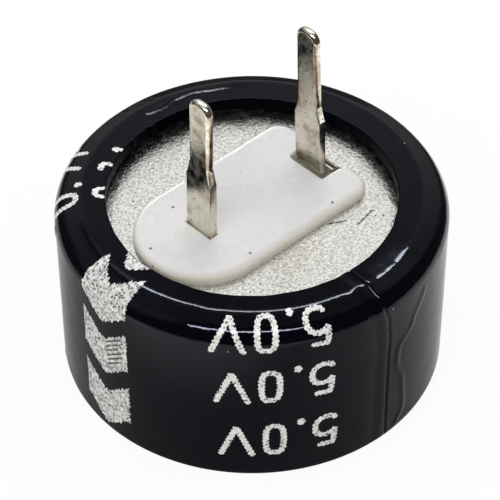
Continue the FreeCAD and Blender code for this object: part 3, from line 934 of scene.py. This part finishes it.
    def shift(self, spot: Vector) -> Vector:
        """How far the film's two free edges stray from true circles at a place.

        Args:
            spot: The place on the smooth film.

        Returns:
            A level move.
        """
        out = math.hypot(spot.x, spot.y)
        if out == 0.0:
            return Vector()
        bearing = self.bearing(spot)
        way = Vector((spot.x, spot.y, 0.0)) / out
        on_ring = 6.0 * way
        ragged = 0.020 * noise.noise(on_ring * 1.4) + 0.006 * noise.noise(on_ring * 6.0)
        hem_share = smooth_step(self.mouth_radius - 0.02 * MM, self.hem_radius + 0.02 * MM, out)
        lip_share = smooth_step(self.crest_radius - 0.1 * MM, self.hem_radius, out)
        above = smooth_step(self.case_top + 0.2 * self.wall, self.case_top + 0.8 * self.wall, spot.z)
        high = smooth_step(self.crest - self.hem_depth - 0.1 * MM, self.crest - self.hem_depth, spot.z)
        share = max(hem_share * high, lip_share * above)
        tear = sum(deep * bell(turn_between(bearing, place), width) for deep, place, width in self.tears)
        hem = (0.085 * math.cos(bearing) + 1.4 * ragged - tear) * MM
        foot_share = smooth_step(self.base_radius + 0.8 * MM, self.base_radius, out)
        foot_share *= smooth_step(self.floor + 0.1 * MM, self.floor, spot.z)
        return way * (share * hem + foot_share * 2.5 * ragged * MM)

    def spot_at(self, bearing: float, run: float) -> tuple[Vector, Vector]:
        """The place on the smooth film at an angle and a distance up its outside.

        Args:
            bearing: The angle from the camera side.
            run: The distance from the closed end, along the wall, the bend, the slope and the lip.

        Returns:
            The place and the way out of the film there.
        """
        half_turn = (math.pi / 2.0 - self.rim_slope) / 2.0
        tangent = self.shoulder_bend * math.tan(half_turn)
        wall_end = self.shoulder - tangent
        bend_end = wall_end + 2.0 * half_turn * self.shoulder_bend
        slope_radius = self.radius - tangent * math.cos(self.rim_slope)
        slope_end = bend_end + (slope_radius - self.crest_radius) / math.cos(self.rim_slope)
        if run < wall_end:
            out, up, tilt = self.radius, run, 0.0
        elif run < bend_end:
            tilt = (run - wall_end) / self.shoulder_bend
            out = self.radius - self.shoulder_bend * (1.0 - math.cos(tilt))
            up = wall_end + self.shoulder_bend * math.sin(tilt)
        elif run < slope_end:
            tilt = math.pi / 2.0 - self.rim_slope
            out = slope_radius - (run - bend_end) * math.cos(self.rim_slope)
            up = self.crest - (out - self.crest_radius) * math.tan(self.rim_slope)
        else:
            tilt = math.pi / 2.0
            out = self.crest_radius - (run - slope_end)
            up = self.crest
        turn = self.front + bearing
        way = Vector((math.cos(turn), math.sin(turn), 0.0))
        return way * out + UP * up, way * math.cos(tilt) + UP * math.sin(tilt)

    def seat(self, bearing: float, run: float, lift: float) -> Vector | None:
        """The place just above the pressed film at an angle and a distance up its outside.

        Args:
            bearing: The angle from the camera side.
            run: The distance from the closed end along the outside.
            lift: The height above the film.

        Returns:
            The place, or nothing past the film's edge.
        """
        spot, way = self.spot_at(bearing, run)
        reach = 0.12 * MM
        hit, normal, _, _ = self.surface.ray_cast(spot + way * reach, -way, 2.0 * reach)
        if hit is None or normal.dot(way) < 0.8:
            return None
        return hit + normal * lift


@dataclass
class SleevePrint:
    """White dot-printer marks on the film: rows of a rating, a column of chevrons and marks on the lip."""

    sleeve: Sleeve
    dot: float = 0.16 * MM
    stroke: float = 0.215 * MM
    glyph_height: float = 1.28 * MM
    glyph_width: float = 0.80
    lift: float = 0.006 * MM
    ink_depth: float = 0.005 * MM
    row_runs: tuple[float, ...] = (1.125 * MM, 3.675 * MM, 6.00 * MM)
    row_drift: float = 0.055
    rating: tuple[tuple[str, float], ...] = (("5", 2.70), (".", 1.50), ("0", 0.905), ("V", -0.185))
    lip_marks: tuple[tuple[str, float, float], ...] = (
        ("0", -9.92, 6.00), (".", -10.98, 6.00), ("7", -11.75, 6.00), ("F", -12.90, 6.00),
        ("-", -12.90, 6.00), ("0", -10.2, 7.95), ("7", -11.95, 7.95), ("1", -13.3, 7.95),
    )
    bold_point: float = 1.35
    chevron_bearing: float = math.radians(-47.3)
    chevron_tips: tuple[float, ...] = (0.36 * MM, 2.86 * MM, 5.26 * MM, 7.66 * MM)
    chevron_band: float = 1.62 * MM
    chevron_half: float = 1.05 * MM
    chevron_drop: float = 0.74 * MM
    chevron_tooth: float = 0.6
    missed_chevron: int = 1
    missed_across: Ends = ((0.0, 0.12), (0.9, 0.78))
    missed_up: Point = (0.1, 0.2)

    GLYPHS = {
        "0": ((0.28, 1.0), (0.50, 1.0), (0.60, 0.78), (0.60, 0.22), (0.50, 0.0), (0.12, 0.0), (0.0, 0.22),
              (0.0, 0.78), (0.12, 1.0), (0.28, 1.0)),
        "1": ((0.06, 0.80), (0.26, 1.0), (0.26, 0.5), (0.26, 0.0)),
        "5": ((0.62, 1.0), (0.06, 1.04), (0.05, 1.0), (0.0, 0.54), (0.01, 0.52), (0.16, 0.66),
              (0.48, 0.66), (0.70, 0.50), (0.70, 0.16), (0.48, -0.02), (0.12, -0.02), (-0.06, 0.14)),
        "7": ((0.0, 1.0), (0.58, 1.0), (0.36, 0.5), (0.20, 0.0)),
        "V": ((-0.06, 1.12), (0.45, 0.12), (0.49, 0.02), (0.53, 0.12), (1.04, 1.12)),
        "F": ((0.54, 1.0), (0.0, 1.0), (0.0, 0.5), (0.0, 0.0)),
        "-": ((0.14, 0.5), (0.45, 0.5)),
        ".": ((0.0, -0.16), (0.0, 0.08)),
    }

    def build(self) -> list[Piece]:
        """Make all the marks.

        Returns:
            The printed pieces.
        """
        rows = bmesh.new()
        for index, run in enumerate(self.row_runs):
            drift = (1 - index) * self.row_drift * (self.row_runs[1] - self.row_runs[0])
            for text, start in self.rating:
                self.write(rows, text, start * MM + drift, run)
        lip = bmesh.new()
        for text, start, run in self.lip_marks:
            self.write(lip, text, start * MM, run * MM)
        column = bmesh.new()
        for name in (RASTER_INK.rise, RASTER_INK.missed):
            column.verts.layers.float.new(name)
        for index, tip in enumerate(self.chevron_tips):
            self.chevron(column, tip, index == self.missed_chevron)
        return [self.finish(rows, "rating_print", LINE_INK), self.finish(lip, "lip_print", LINE_INK),
                self.finish(column, "polarity_chevrons", RASTER_INK)]

    def finish(self, mesh: Mesh, name: str, ink: PrintInk) -> Piece:
        """Give the ink its thickness and make it a piece.

        Args:
            mesh: The marks as open sheets on the film.
            name: The piece's name.
            ink: The finish of the marks.

        Returns:
            The printed piece.
        """
        orient(mesh)
        self.face_out(mesh)
        bmesh.ops.solidify(mesh, geom=mesh.faces[:], thickness=self.ink_depth)
        return add_piece(mesh, name, ink, 75.0)

    @staticmethod
    def face_out(mesh: Mesh) -> None:
        """Turn faces that look into the film the other way.

        Args:
            mesh: The marks as open sheets.
        """
        mesh.normal_update()
        inward = []
        for face in mesh.faces:
            middle = face.calc_center_median()
            if face.normal.dot(Vector((middle.x, middle.y, 4.0 * MM))) < 0.0:
                inward.append(face)
        bmesh.ops.reverse_faces(mesh, faces=inward)

    def write(self, mesh: Mesh, text: str, start: float, run: float) -> None:
        """Draw one upside-down mark as a ribbon of ink with a dotted edge.

        Args:
            mesh: The bmesh to add to.
            text: The mark's key.
            start: The arc length of its first side, to the right of the camera side.
            run: The distance of its head from the closed end.
        """
        path = self.smooth_path(self.GLYPHS[text])
        lengths = [0.0]
        for first, second in zip(path, path[1:]):
            lengths.append(lengths[-1] + (second - first).length)
        total = lengths[-1]
        segments = max(10, int(total / (0.2 * self.dot)))
        grid = bmesh.ops.create_grid(mesh, x_segments=segments, y_segments=4, size=0.5)["verts"]
        closed = (path[0] - path[-1]).length < 1e-9
        half = 0.5 * self.stroke * (self.bold_point if text == "." else 1.0)
        places = []
        for vert in grid:
            along = (vert.co.x + 0.5) * total
            side = 2.0 * vert.co.y
            centre, way = self.on_path(path, lengths, along)
            cap = 1.0 if closed else min(1.0, min(along, total - along) / half)
            beat = math.pi * (along / self.dot + (0.5 if side < 0.0 else 0.0))
            seed = Vector((along / self.dot * 0.9, side * 1.7, start / MM + run / MM))
            scallop = 0.62 + 0.48 * abs(math.cos(beat)) + 0.16 * noise.noise(seed)
            width = half * scallop * math.sqrt(max(0.02, 1.0 - (1.0 - cap) ** 2))
            local = centre + Vector((-way.y, way.x)) * side * width
            bearing = (start - local.x) / self.sleeve.radius
            places.append((vert, bearing, run + self.glyph_height - local.y))
        self.lay(mesh, places)

    def lay(self, mesh: Mesh, places: list[tuple[Vert, float, float]]) -> None:
        """Lay a flat sheet of ink on the film, and drop what would lie past the film's edge.

        Args:
            mesh: The bmesh that holds the sheet.
            places: Each vertex with its angle and its distance up the film.
        """
        lost = []
        for vert, bearing, run in places:
            spot = self.sleeve.seat(bearing, run, self.lift)
            if spot is None:
                lost.append(vert)
            else:
                vert.co = spot
        bmesh.ops.delete(mesh, geom=lost, context="VERTS")

    def smooth_path(self, points: tuple[Point, ...]) -> list[Vector]:
        """Round a mark's stroke by cutting its corners.

        Args:
            points: The stroke's points, as shares of the mark's height.

        Returns:
            The smooth stroke, at its real size.
        """
        path = [Vector((across * self.glyph_width, up)) * self.glyph_height for across, up in points]
        for _ in range(3):
            cut = [path[0]]
            for first, second in zip(path, path[1:]):
                cut += [first.lerp(second, 0.25), first.lerp(second, 0.75)]
            path = cut + [path[-1]]
        return path

    @staticmethod
    def on_path(path: list[Vector], lengths: list[float], along: float) -> tuple[Vector, Vector]:
        """The place and direction at a distance along a stroke.

        Args:
            path: The stroke's points.
            lengths: The distance of each point from the stroke's start.
            along: The wanted distance.

        Returns:
            The place and the direction of the stroke there.
        """
        index = 0
        while index < len(path) - 2 and lengths[index + 1] < along:
            index += 1
        step = path[index + 1] - path[index]
        share = (along - lengths[index]) / max(1e-9, lengths[index + 1] - lengths[index])
        before = path[max(0, index - 1)]
        after = path[min(len(path) - 1, index + 2)]
        return path[index] + step * share, (after - before).normalized()

    def chevron(self, mesh: Mesh, tip: float, missed: bool) -> None:
        """Print one chevron that points to the closed end.

        Args:
            mesh: The bmesh to add to.
            tip: The distance of its tip from the closed end.
            missed: Whether the printer missed some lines of its right arm.
        """
        rise_layer = mesh.verts.layers.float[RASTER_INK.rise]
        missed_layer = mesh.verts.layers.float[RASTER_INK.missed]
        spacing = 0.25 * self.dot
        columns, rows = int(2.0 * self.chevron_half / spacing), int(self.chevron_band / spacing)
        grid = bmesh.ops.create_grid(mesh, x_segments=columns, y_segments=rows, size=0.5)["verts"]
        places = []
        for vert in grid:
            side, rise = 2.0 * vert.co.x, vert.co.y + 0.5
            up = rise * self.chevron_band
            edge = max(abs(side), abs(2.0 * rise - 1.0)) ** 24
            wobble = noise.noise(Vector((side * 9.0, rise * 12.0, tip / MM)))
            across = side * self.chevron_half
            if abs(side) > 0.97:
                across += math.copysign(edge * self.tooth(up, wobble), side)
            climb = self.chevron_drop * max(0.0, abs(side) - 0.08) / 0.92
            run = tip + climb + up + 2.0 * edge * self.tooth(across, wobble) * (rise - 0.5)
            vert[rise_layer] = up
            bare = within(self.missed_across, side) * smooth_step(*self.missed_up, rise)
            vert[missed_layer] = bare * missed
            places.append((vert, self.chevron_bearing + across / self.sleeve.radius, run))
        self.lay(mesh, places)

    def tooth(self, along: float, wobble: float) -> float:
        """How far the dots stand out of a chevron's edge, at a distance along it."""
        return self.chevron_tooth * self.dot * (abs(math.cos(math.pi * along / self.dot)) - 0.5 + wobble)


@dataclass
class TerminalPlate:
    """A plate of tinned sheet with a window, and the terminal that is bent up from it."""

    pole: Pole
    node: str
    bottom: float
    radius: float
    tip: float
    face: float
    neck_start: float
    spring: float
    window: tuple[Triple, ...]
    slope_width: float = 0.0
    slope_fall: float = 0.0
    sheet: float = 0.3 * MM
    half_pitch: float = 2.54 * MM
    shift: Point = (0.105 * MM, -0.145 * MM)
    width: float = 1.19 * MM
    neck: float = 0.95 * MM
    taper: float = 0.57 * MM
    tip_round: float = 0.42 * MM
    bend: float = 0.5 * MM
    lance_gap: float = 0.12 * MM
    coining: float = 0.13 * MM
    coined_low: float = 0.22

    @property
    def top(self) -> float:
        """The height of the plate's upper face."""
        return self.bottom + self.sheet

    @property
    def hinge(self) -> Vector:
        """The centre of the bend, on the side of the axis where X is positive.

        Returns:
            Its place, before the plate's shift.
        """
        outer_face = self.half_pitch + self.sheet / 2.0
        rise = self.bend * (1.0 - math.sin(self.spring))
        across = outer_face - rise * math.tan(self.spring) + self.bend * math.cos(self.spring)
        return Vector((across, 0.0, self.top + self.bend))

    def build(self) -> list[Piece]:
        """Make the plate and its terminal.

        Returns:
            The two pieces that stand for the node.
        """
        side = "positive" if self.pole is Pole.POSITIVE else "negative"
        pieces = [add_piece(self.disc(), f"{side}_plate", FACE_TIN), self.terminal(f"{side}_terminal")]
        for piece in pieces:
            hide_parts(self.node)
        return pieces

    def disc(self) -> Mesh:
        """The plate, with its window cut out and its rim sloped.

        Returns:
            The bmesh of the plate.
        """
        mesh = bmesh.new()
        bmesh.ops.create_circle(mesh, cap_ends=True, segments=160, radius=self.radius)
        if self.slope_width > 0.0:
            inset(mesh, self.slope_width)
        for start, end, half in self.window:
            low, high = sorted(place * self.pole.value + self.shift[0] for place in (start, end))
            lost = score(mesh, (low, high, self.shift[1] - half, self.shift[1] + half))
            bmesh.ops.delete(mesh, geom=lost, context="FACES")
        bmesh.ops.translate(mesh, verts=mesh.verts, vec=UP * self.bottom)
        orient(mesh)
        for vert in extrude(mesh, mesh.faces[:], UP * self.sheet):
            if math.hypot(vert.co.x, vert.co.y) > self.radius - 0.5 * self.slope_width:
                vert.co.z -= self.slope_fall
        orient(mesh)
        return mesh

    def along_strip(self, height: float) -> float:
        """The distance from the end of the bend to a height, along the leaning strip."""
        return (height - self.hinge.z + self.bend * math.sin(self.spring)) / math.cos(self.spring)

    def strip_outline(self) -> list[Corner]:
        """The terminal's outline above its bend, in the plane of its outer face.

        Returns:
            Each corner's place, radius and number of segments.
        """
        neck_top = self.along_strip(self.face + self.neck_start)
        neck_foot = neck_top - self.taper
        end = self.along_strip(self.tip) - 0.01 * MM
        half_width, half_neck = self.width / 2.0, self.neck / 2.0
        right = (
            (half_width, 0.0, 0.0, 0),
            (half_width, neck_foot, 0.5 * MM, 4),
            (half_neck, neck_top, 0.5 * MM, 4),
            (half_neck, end, self.tip_round, 8),
        )
        rows = (*right, *((-across, up, bend, steps) for across, up, bend, steps in reversed(right)))
        return [(Vector((-self.bend, across, up)), bend, steps) for across, up, bend, steps in rows]

    def terminal(self, name: str) -> Piece:
        """The strip: cut to its outline, given its thickness, bent into the plate and coined.

        Args:
            name: The piece's name.

        Returns:
            The terminal.
        """
        mesh = bmesh.new()
        outline_face(mesh, self.strip_outline())
        extrude(mesh, mesh.faces[:], Vector((-self.sheet, 0.0, 0.0)))
        orient(mesh)
        lean = Matrix.Rotation(-self.spring, 3, "Y")
        foot = min(mesh.faces, key=lambda face: face.calc_center_median().z)
        bmesh.ops.rotate(mesh, cent=ORIGIN, matrix=lean, verts=mesh.verts)
        quarter = math.pi / 2.0 - self.spring
        swept = bmesh.ops.spin(mesh, geom=[foot, *foot.edges, *foot.verts], cent=ORIGIN,
                               axis=(0.0, -1.0, 0.0), dvec=ORIGIN, angle=quarter, steps=8,
                               use_merge=False, use_duplicate=False)["geom_last"]
        root = [item for item in swept if isinstance(item, Face)]
        extrude(mesh, root, Vector((self.lance_gap, 0.0, 0.0)))
        bmesh.ops.translate(mesh, verts=mesh.verts, vec=self.hinge)
        if self.pole is Pole.POSITIVE:
            bmesh.ops.scale(mesh, vec=(-1.0, 1.0, 1.0), verts=mesh.verts)
        bmesh.ops.translate(mesh, verts=mesh.verts, vec=(*self.shift, 0.0))
        orient(mesh)
        self.weigh_edges(mesh)
        piece = add_piece(mesh, name, PIN_TIN)
        round_edges(piece, self.coining, 5)
        return piece

    def weigh_edges(self, mesh: Mesh) -> None:
        """Mark how deeply each long edge of the strip is coined: most on the narrow end.

        Args:
            mesh: The bent strip.
        """
        weight = mesh.edges.layers.float.new(ROUNDING)
        neck_top = self.face + self.neck_start
        for edge in mesh.edges:
            if len(edge.link_faces) != 2 or edge.calc_face_angle(0.0) < math.radians(50.0):
                continue
            middle = middle_of(edge)
            on_neck = smooth_step(neck_top - self.taper, neck_top, middle.z)
            edge[weight] = self.coined_low + (1.0 - self.coined_low) * on_neck


@dataclass
class BaseInsulator:
    """The white moulding: round at one end, notched at the other, slotted for the positive terminal."""

    low: Vector
    high: Vector
    face: float
    positive: float
    shift_across: float = -0.145 * MM
    edge_round: float = 0.27 * MM
    notch_near: float = 0.98 * MM
    notch_far: float = 0.665 * MM
    notch_back: float = 2.195 * MM
    lobe_corner: float = 0.65 * MM
    mouth_corner: float = 0.44 * MM
    slot_half: Point = (0.18 * MM, 0.61 * MM)
    boss_ends: Point = (-3.435 * MM, 2.145 * MM)
    boss_half: float = 0.945 * MM
    slot_weight: float = 0.15
    notch_weight: float = 0.22

    def build(self) -> Piece:
        """Mould the plate and make it a piece.

        Returns:
            The insulator.
        """
        mesh = bmesh.new()
        outline_face(mesh, self.outline())
        margin = tuple(inset(mesh, 1.15 * self.edge_round))
        half_along, half_across = self.slot_half
        slot = self.window((self.positive - half_along, self.positive + half_along), half_across)
        bmesh.ops.delete(mesh, geom=score(mesh, slot, margin), context="FACES")
        boss = score(mesh, self.window(self.boss_ends, self.boss_half), margin)
        extrude(mesh, mesh.faces[:], UP * (self.high.z - self.face))
        extrude(mesh, boss, UP * (self.low.z - self.face))
        orient(mesh)
        self.weigh_edges(mesh)
        piece = add_piece(mesh, "insulator_moulding", RESIN)
        round_edges(piece, self.edge_round, 6)
        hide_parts("base_insulator")
        return piece

    def window(self, ends: Point, half: float) -> Window:
        """A rectangle on the moulding's middle line, by its ends and half its width."""
        return (*ends, self.shift_across - half, self.shift_across + half)

    def outline(self) -> list[Corner]:
        """The plate's outline, seen from above.

        Returns:
            Each corner's place, radius and number of segments.
        """
        half = (self.high.y - self.low.y) / 2.0
        round_end = 0.998 * half
        rows = (
            (self.low.x, -half, round_end, 40),
            (self.high.x, -half, self.lobe_corner, 12),
            (self.high.x, -self.notch_near, self.mouth_corner, 10),
            (self.notch_back, -self.notch_near, 0.06 * MM, 3),
            (self.notch_back, self.notch_far, 0.22 * MM, 6),
            (self.high.x, self.notch_far, self.mouth_corner, 10),
            (self.high.x, half, self.lobe_corner, 12),
            (self.low.x, half, round_end, 40),
        )
        return [(Vector((across, self.shift_across + off, self.face)), bend, steps)
                for across, off, bend, steps in rows]

    def weigh_edges(self, mesh: Mesh) -> None:
        """Mark how far each top edge is rounded: most outside, less in the notch, least at the slot.

        Args:
            mesh: The raised plate.
        """
        weight = mesh.edges.layers.float.new(ROUNDING)
        for edge in mesh.edges:
            flat = all(abs(vert.co.z - self.high.z) < 1e-7 for vert in edge.verts)
            if not flat or edge.calc_face_angle(0.0) < 0.5:
                continue
            middle = middle_of(edge)
            off = middle.y - self.shift_across
            if abs(middle.x - self.positive) < 0.3 * MM and abs(off) < 0.7 * MM:
                edge[weight] = self.slot_weight
            elif middle.x > self.notch_back - 0.1 * MM and -self.notch_near < off + self.mouth_corner and (
                    off - self.mouth_corner < self.notch_far):
                at_mouth = smooth_step(self.high.x - self.mouth_corner, self.high.x, middle.x)
                edge[weight] = self.notch_weight + (1.0 - self.notch_weight) * at_mouth
            else:
                edge[weight] = 1.0


@dataclass
class InnerStack:
    """The pieces inside the sleeve, which keep their solids and get their finishes."""

    finishes: dict[str, Finish]

    def dress(self) -> list[Piece]:
        """Give each solid its finish.

        Returns:
            The dressed pieces.
        """
        dressed = []
        for name, finish in self.finishes.items():
            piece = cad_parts[name]
            piece.data.materials.clear()
            piece.data.materials.append(finish.material())
            dressed.append(piece)
        return dressed


@dataclass
class Lamp:
    """A soft rectangular lamp that looks at the part."""

    name: str
    azimuth: float
    elevation: float
    distance: float
    size: Point
    power: float
    lights: bool = True
    mirrored: bool = True
    tone: Colour = WHITE

    def build(self, target: Vector) -> Piece:
        """Hang the lamp; one without diffuse light shines only on the pieces of its own collection.

        Args:
            target: The place that it looks at.

        Returns:
            The lamp.
        """
        data = bpy.data.lights.new(self.name, "AREA")
        data.shape = "RECTANGLE"
        data.size, data.size_y = self.size
        data.energy = self.power
        data.color = self.tone
        lamp = put(self.name, data)
        way = Studio.direction(self.azimuth, self.elevation)
        lamp.location = target + way * self.distance
        lamp.rotation_euler = (-way).to_track_quat("-Z", "Y").to_euler()
        lamp.visible_diffuse = self.lights
        lamp.visible_glossy = self.mirrored
        if not self.lights:
            lamp.light_linking.receiver_collection = bpy.data.collections.new(self.name)
        return lamp


@dataclass
class Studio:
    """The camera, the pale floor, the white surroundings and the lamps."""

    elevation: float = 43.845
    roll: float = math.radians(0.25)
    distance: float = 79.62 * MM
    aim_height: float = 3.428 * MM
    lens: float = 164.57
    sensor: float = 36.0
    aim_pixel: Point = (252.127, 264.054)
    image_size: int = 500
    ambient: float = 0.72
    floor_glow: float = 0.92
    floor_half: float = 3.0
    floor_paint: Colour = (0.9, 0.9, 0.9)
    # painted light: the levels of the floor as reflections show it, from its dim side to its bright side
    floor_sheen: Point = (0.82, 1.4)
    # Bright patches around the part: turn, elevation, outer and inner angle, light out of and in it.
    patches: tuple[tuple[float, ...], ...] = (
        (180.0, 46.0, 56.0, 18.0, 0.12, 0.98), (-88.0, 44.0, 38.0, 12.0, 0.0, 0.75),
    )
    lamps: tuple[Lamp, ...] = (
        Lamp("back_strip", VIEW_AZIMUTH + 177.0, 61.0, 0.26, (0.20, 0.040), 1.25, lights=False, tone=COOL),
        Lamp("front_strip", VIEW_AZIMUTH - 1.5, 57.0, 0.26, (0.215, 0.034), 1.2, lights=False, tone=COOL),
        Lamp("edge_strip", VIEW_AZIMUTH + 192.0, 13.0, 0.26, (0.12, 0.045), 0.25, lights=False),
        Lamp("front_fill", VIEW_AZIMUTH, 38.0, 0.30, (0.44, 0.30), 0.42, lights=False),
        Lamp("back_softbox", VIEW_AZIMUTH + 165.0, 60.0, 0.30, (0.16, 0.16), 0.18, mirrored=False),
        Lamp("front_softbox", VIEW_AZIMUTH - 35.0, 50.0, 0.30, (0.18, 0.18), 0.26, mirrored=False),
    )

    @staticmethod
    def direction(azimuth: float, elevation: float) -> Vector:
        """The way from the part to a place, by degrees about +Z from the -Y side and degrees of rise."""
        turn, rise = math.radians(azimuth), math.radians(elevation)
        return Vector((math.sin(turn) * math.cos(rise), -math.cos(turn) * math.cos(rise), math.sin(rise)))

    def build(self) -> None:
        """Set up the whole studio."""
        bpy.context.scene.view_settings.view_transform = "Standard"
        self.place_camera()
        self.lay_floor()
        self.paint_world()
        for lamp in self.lamps:
            lamp.build(UP * self.aim_height)

    @staticmethod
    def shine(pieces: list[Piece], *lamps: str) -> None:
        """Let the named lamps, which are seen only as reflections, shine on pieces."""
        for name, piece in product(lamps, pieces):
            bpy.data.collections[name].objects.link(piece)

    @staticmethod
    def sides(back: Vector) -> tuple[Vector, Vector]:
        """The ways to the right of a level camera and up from it, by the way out of its back."""
        right = UP.cross(back).normalized()
        return right, back.cross(right)

    def place_camera(self) -> None:
        """Put the camera where the photograph was taken from."""
        data = bpy.data.cameras.new("camera")
        data.lens = self.lens
        data.sensor_width = self.sensor
        data.clip_start, data.clip_end = 0.001, 10.0
        back = self.direction(VIEW_AZIMUTH, self.elevation)
        right, up = self.sides(back)
        aim = UP * self.aim_height
        eye = aim + back * self.distance
        pixel = self.distance * self.sensor / (self.lens * self.image_size)
        middle = self.image_size / 2.0
        aim += (right * (middle - self.aim_pixel[0]) + up * (self.aim_pixel[1] - middle)) * pixel
        back = (eye - aim).normalized()
        right, up = self.sides(back)
        tilt = Matrix.Rotation(-self.roll, 3, back)
        axes = Matrix((tilt @ right, tilt @ up, back)).transposed()
        camera = put("camera", data)
        camera.matrix_world = Matrix.Translation(eye) @ axes.to_4x4()
        bpy.context.scene.camera = camera

    def lay_floor(self) -> None:
        """Lay a wide pale floor that glows a little, so that it reads as white and keeps a shadow."""
        mesh = bmesh.new()
        bmesh.ops.create_grid(mesh, x_segments=1, y_segments=1, size=self.floor_half)
        data = bpy.data.meshes.new("floor")
        mesh.to_mesh(data)
        mesh.free()
        finish = bpy.data.materials.new("floor")
        finish.use_nodes = True
        graph = Graph(finish.node_tree)
        straight, mirrored = self.rays(graph)
        paint = graph.add("ShaderNodeBsdfDiffuse", {"Color": self.floor_paint})
        glow = graph.add("ShaderNodeEmission", {"Color": WHITE, "Strength": 1.0})
        # painted light and shade: reflections see the floor glow with a painted shadow at the part and
        # painted light aside and in front
        painted_reflection = graph.add("ShaderNodeEmission", {"Color": WHITE, "Strength": self.painted_floor_reflection(graph)})
        lit = graph.either(graph.times(straight, self.floor_glow), paint, glow)
        both = graph.either(mirrored, lit, painted_reflection)
        graph.add("ShaderNodeOutputMaterial", {"Surface": both.outputs[0]})
        data.materials.append(finish)
        floor = put("floor", data)

    def painted_floor_reflection(self, graph: Graph) -> Socket:
        """How bright a reflection shows the floor: a painted shadow dims it at the part, it fades far out,
        and painted light makes it bright aside and in front.

        Args:
            graph: The floor's nodes.

        Returns:
            A number socket.
        """
        spot = graph.place()
        out = graph.vector("DISTANCE", spot, ORIGIN).outputs["Value"]
        side = graph.along(self.direction(VIEW_AZIMUTH + 140.0, 0.0), spot)
        front = graph.along(self.direction(VIEW_AZIMUTH - 25.0, 0.0), spot)
        # painted shadow within a few millimetres of the part, painted light on one side and in front
        near = graph.times(graph.between(side, -11.0 * MM, 11.0 * MM, *self.floor_sheen),
                           graph.between(out, 6.5 * MM, 20.0 * MM, 0.50, 1.2))
        wide = graph.math("ADD", near, graph.between(front, 9.0 * MM, 13.5 * MM))
        return graph.times(wide, graph.between(out, 20.0 * MM, 36.0 * MM, 1.0, 0.06))

    @staticmethod
    def rays(graph: Graph) -> tuple[Socket, Socket]:
        """Whether a ray comes from the camera, and whether from a reflection or a clear piece."""
        path = graph.add("ShaderNodeLightPath").outputs
        return path["Is Camera Ray"], graph.most(path["Is Glossy Ray"], path["Is Transmission Ray"])

    def paint_world(self) -> None:
        """Surround the part with white, which a reflection shows dark but for two bright patches."""
        world = bpy.data.worlds.new("studio")
        world.use_nodes = True
        graph = Graph(world.node_tree)
        straight, mirrored = self.rays(graph)
        way = graph.add("ShaderNodeTexCoord").outputs["Generated"]
        shown = straight
        for turn, rise, outer, inner, dim, bright in self.patches:
            near = graph.along(self.direction(VIEW_AZIMUTH + turn, rise), way)
            limits = [math.cos(math.radians(angle)) for angle in (outer, inner)]
            shown = graph.most(shown, graph.between(near, *limits, dim, bright))
        soft = graph.add("ShaderNodeBackground", {"Color": WHITE, "Strength": self.ambient})
        sharp = graph.add("ShaderNodeBackground", {"Color": WHITE, "Strength": shown})
        both = graph.either(graph.most(straight, mirrored), soft, sharp)
        graph.add("ShaderNodeOutputWorld", {"Surface": both.outputs[0]})
        bpy.context.scene.world = world


def make_plates() -> list[TerminalPlate]:
    """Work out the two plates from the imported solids.

    Returns:
        The contact plate and the end plate.
    """
    contact_low, contact_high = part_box("contact_plate")
    end_low, end_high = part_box("end_plate")
    face = end_low.z + TerminalPlate.sheet
    contact = TerminalPlate(
        Pole.POSITIVE, "contact_plate", contact_low.z, contact_high.x, contact_high.z, face,
        neck_start=3.23 * MM, spring=math.radians(1.0), window=((-3.34 * MM, 3.31 * MM, 0.715 * MM),),
    )
    end = TerminalPlate(
        Pole.NEGATIVE, "end_plate", end_low.z, end_high.x, end_high.z, face,
        neck_start=3.05 * MM, spring=math.radians(2.2),
        window=((2.09 * MM, 3.31 * MM, 0.715 * MM), (-3.59 * MM, 2.09 * MM, 0.995 * MM)),
        slope_width=0.5 * MM, slope_fall=0.5 * MM * math.tan(Sleeve.rim_slope),
    )
    return [contact, end]


def main() -> None:
    """Build every sub-assembly in order and set the scene."""
    logging.basicConfig(level=logging.INFO, format="%(name)s: %(message)s")
    studio = Studio()
    studio.build()
    _, sleeve_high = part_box("sleeve")
    case_low, case_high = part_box("case")
    sleeve = Sleeve(sleeve_high.x, sleeve_high.z, case_high.x, case_high.z, case_low.z)
    films = [sleeve.build(), *SleevePrint(sleeve).build()]
    plates = make_plates()
    sheets, terminals = zip(*(plate.build() for plate in plates))
    low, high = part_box("base_insulator")
    positive = TerminalPlate.shift[0] - TerminalPlate.half_pitch
    moulding = BaseInsulator(low, high, plates[1].top, positive).build()
    studio.shine([moulding], "edge_strip")
    studio.shine([*sheets], "front_fill")
    studio.shine([*films, *terminals], "back_strip", "front_strip")
    cells = {name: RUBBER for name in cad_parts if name.startswith("cell_")}
    stack = InnerStack({"case": STEEL, "liner": INSULATION, "insulating_washer": INSULATION, **cells})
    made = [*films, *sheets, *terminals, moulding, *stack.dress()]
    for piece in made:
        LOG.info("%s: %d faces", piece.name, len(piece.data.polygons))


if __name__ == "__main__":
    main()
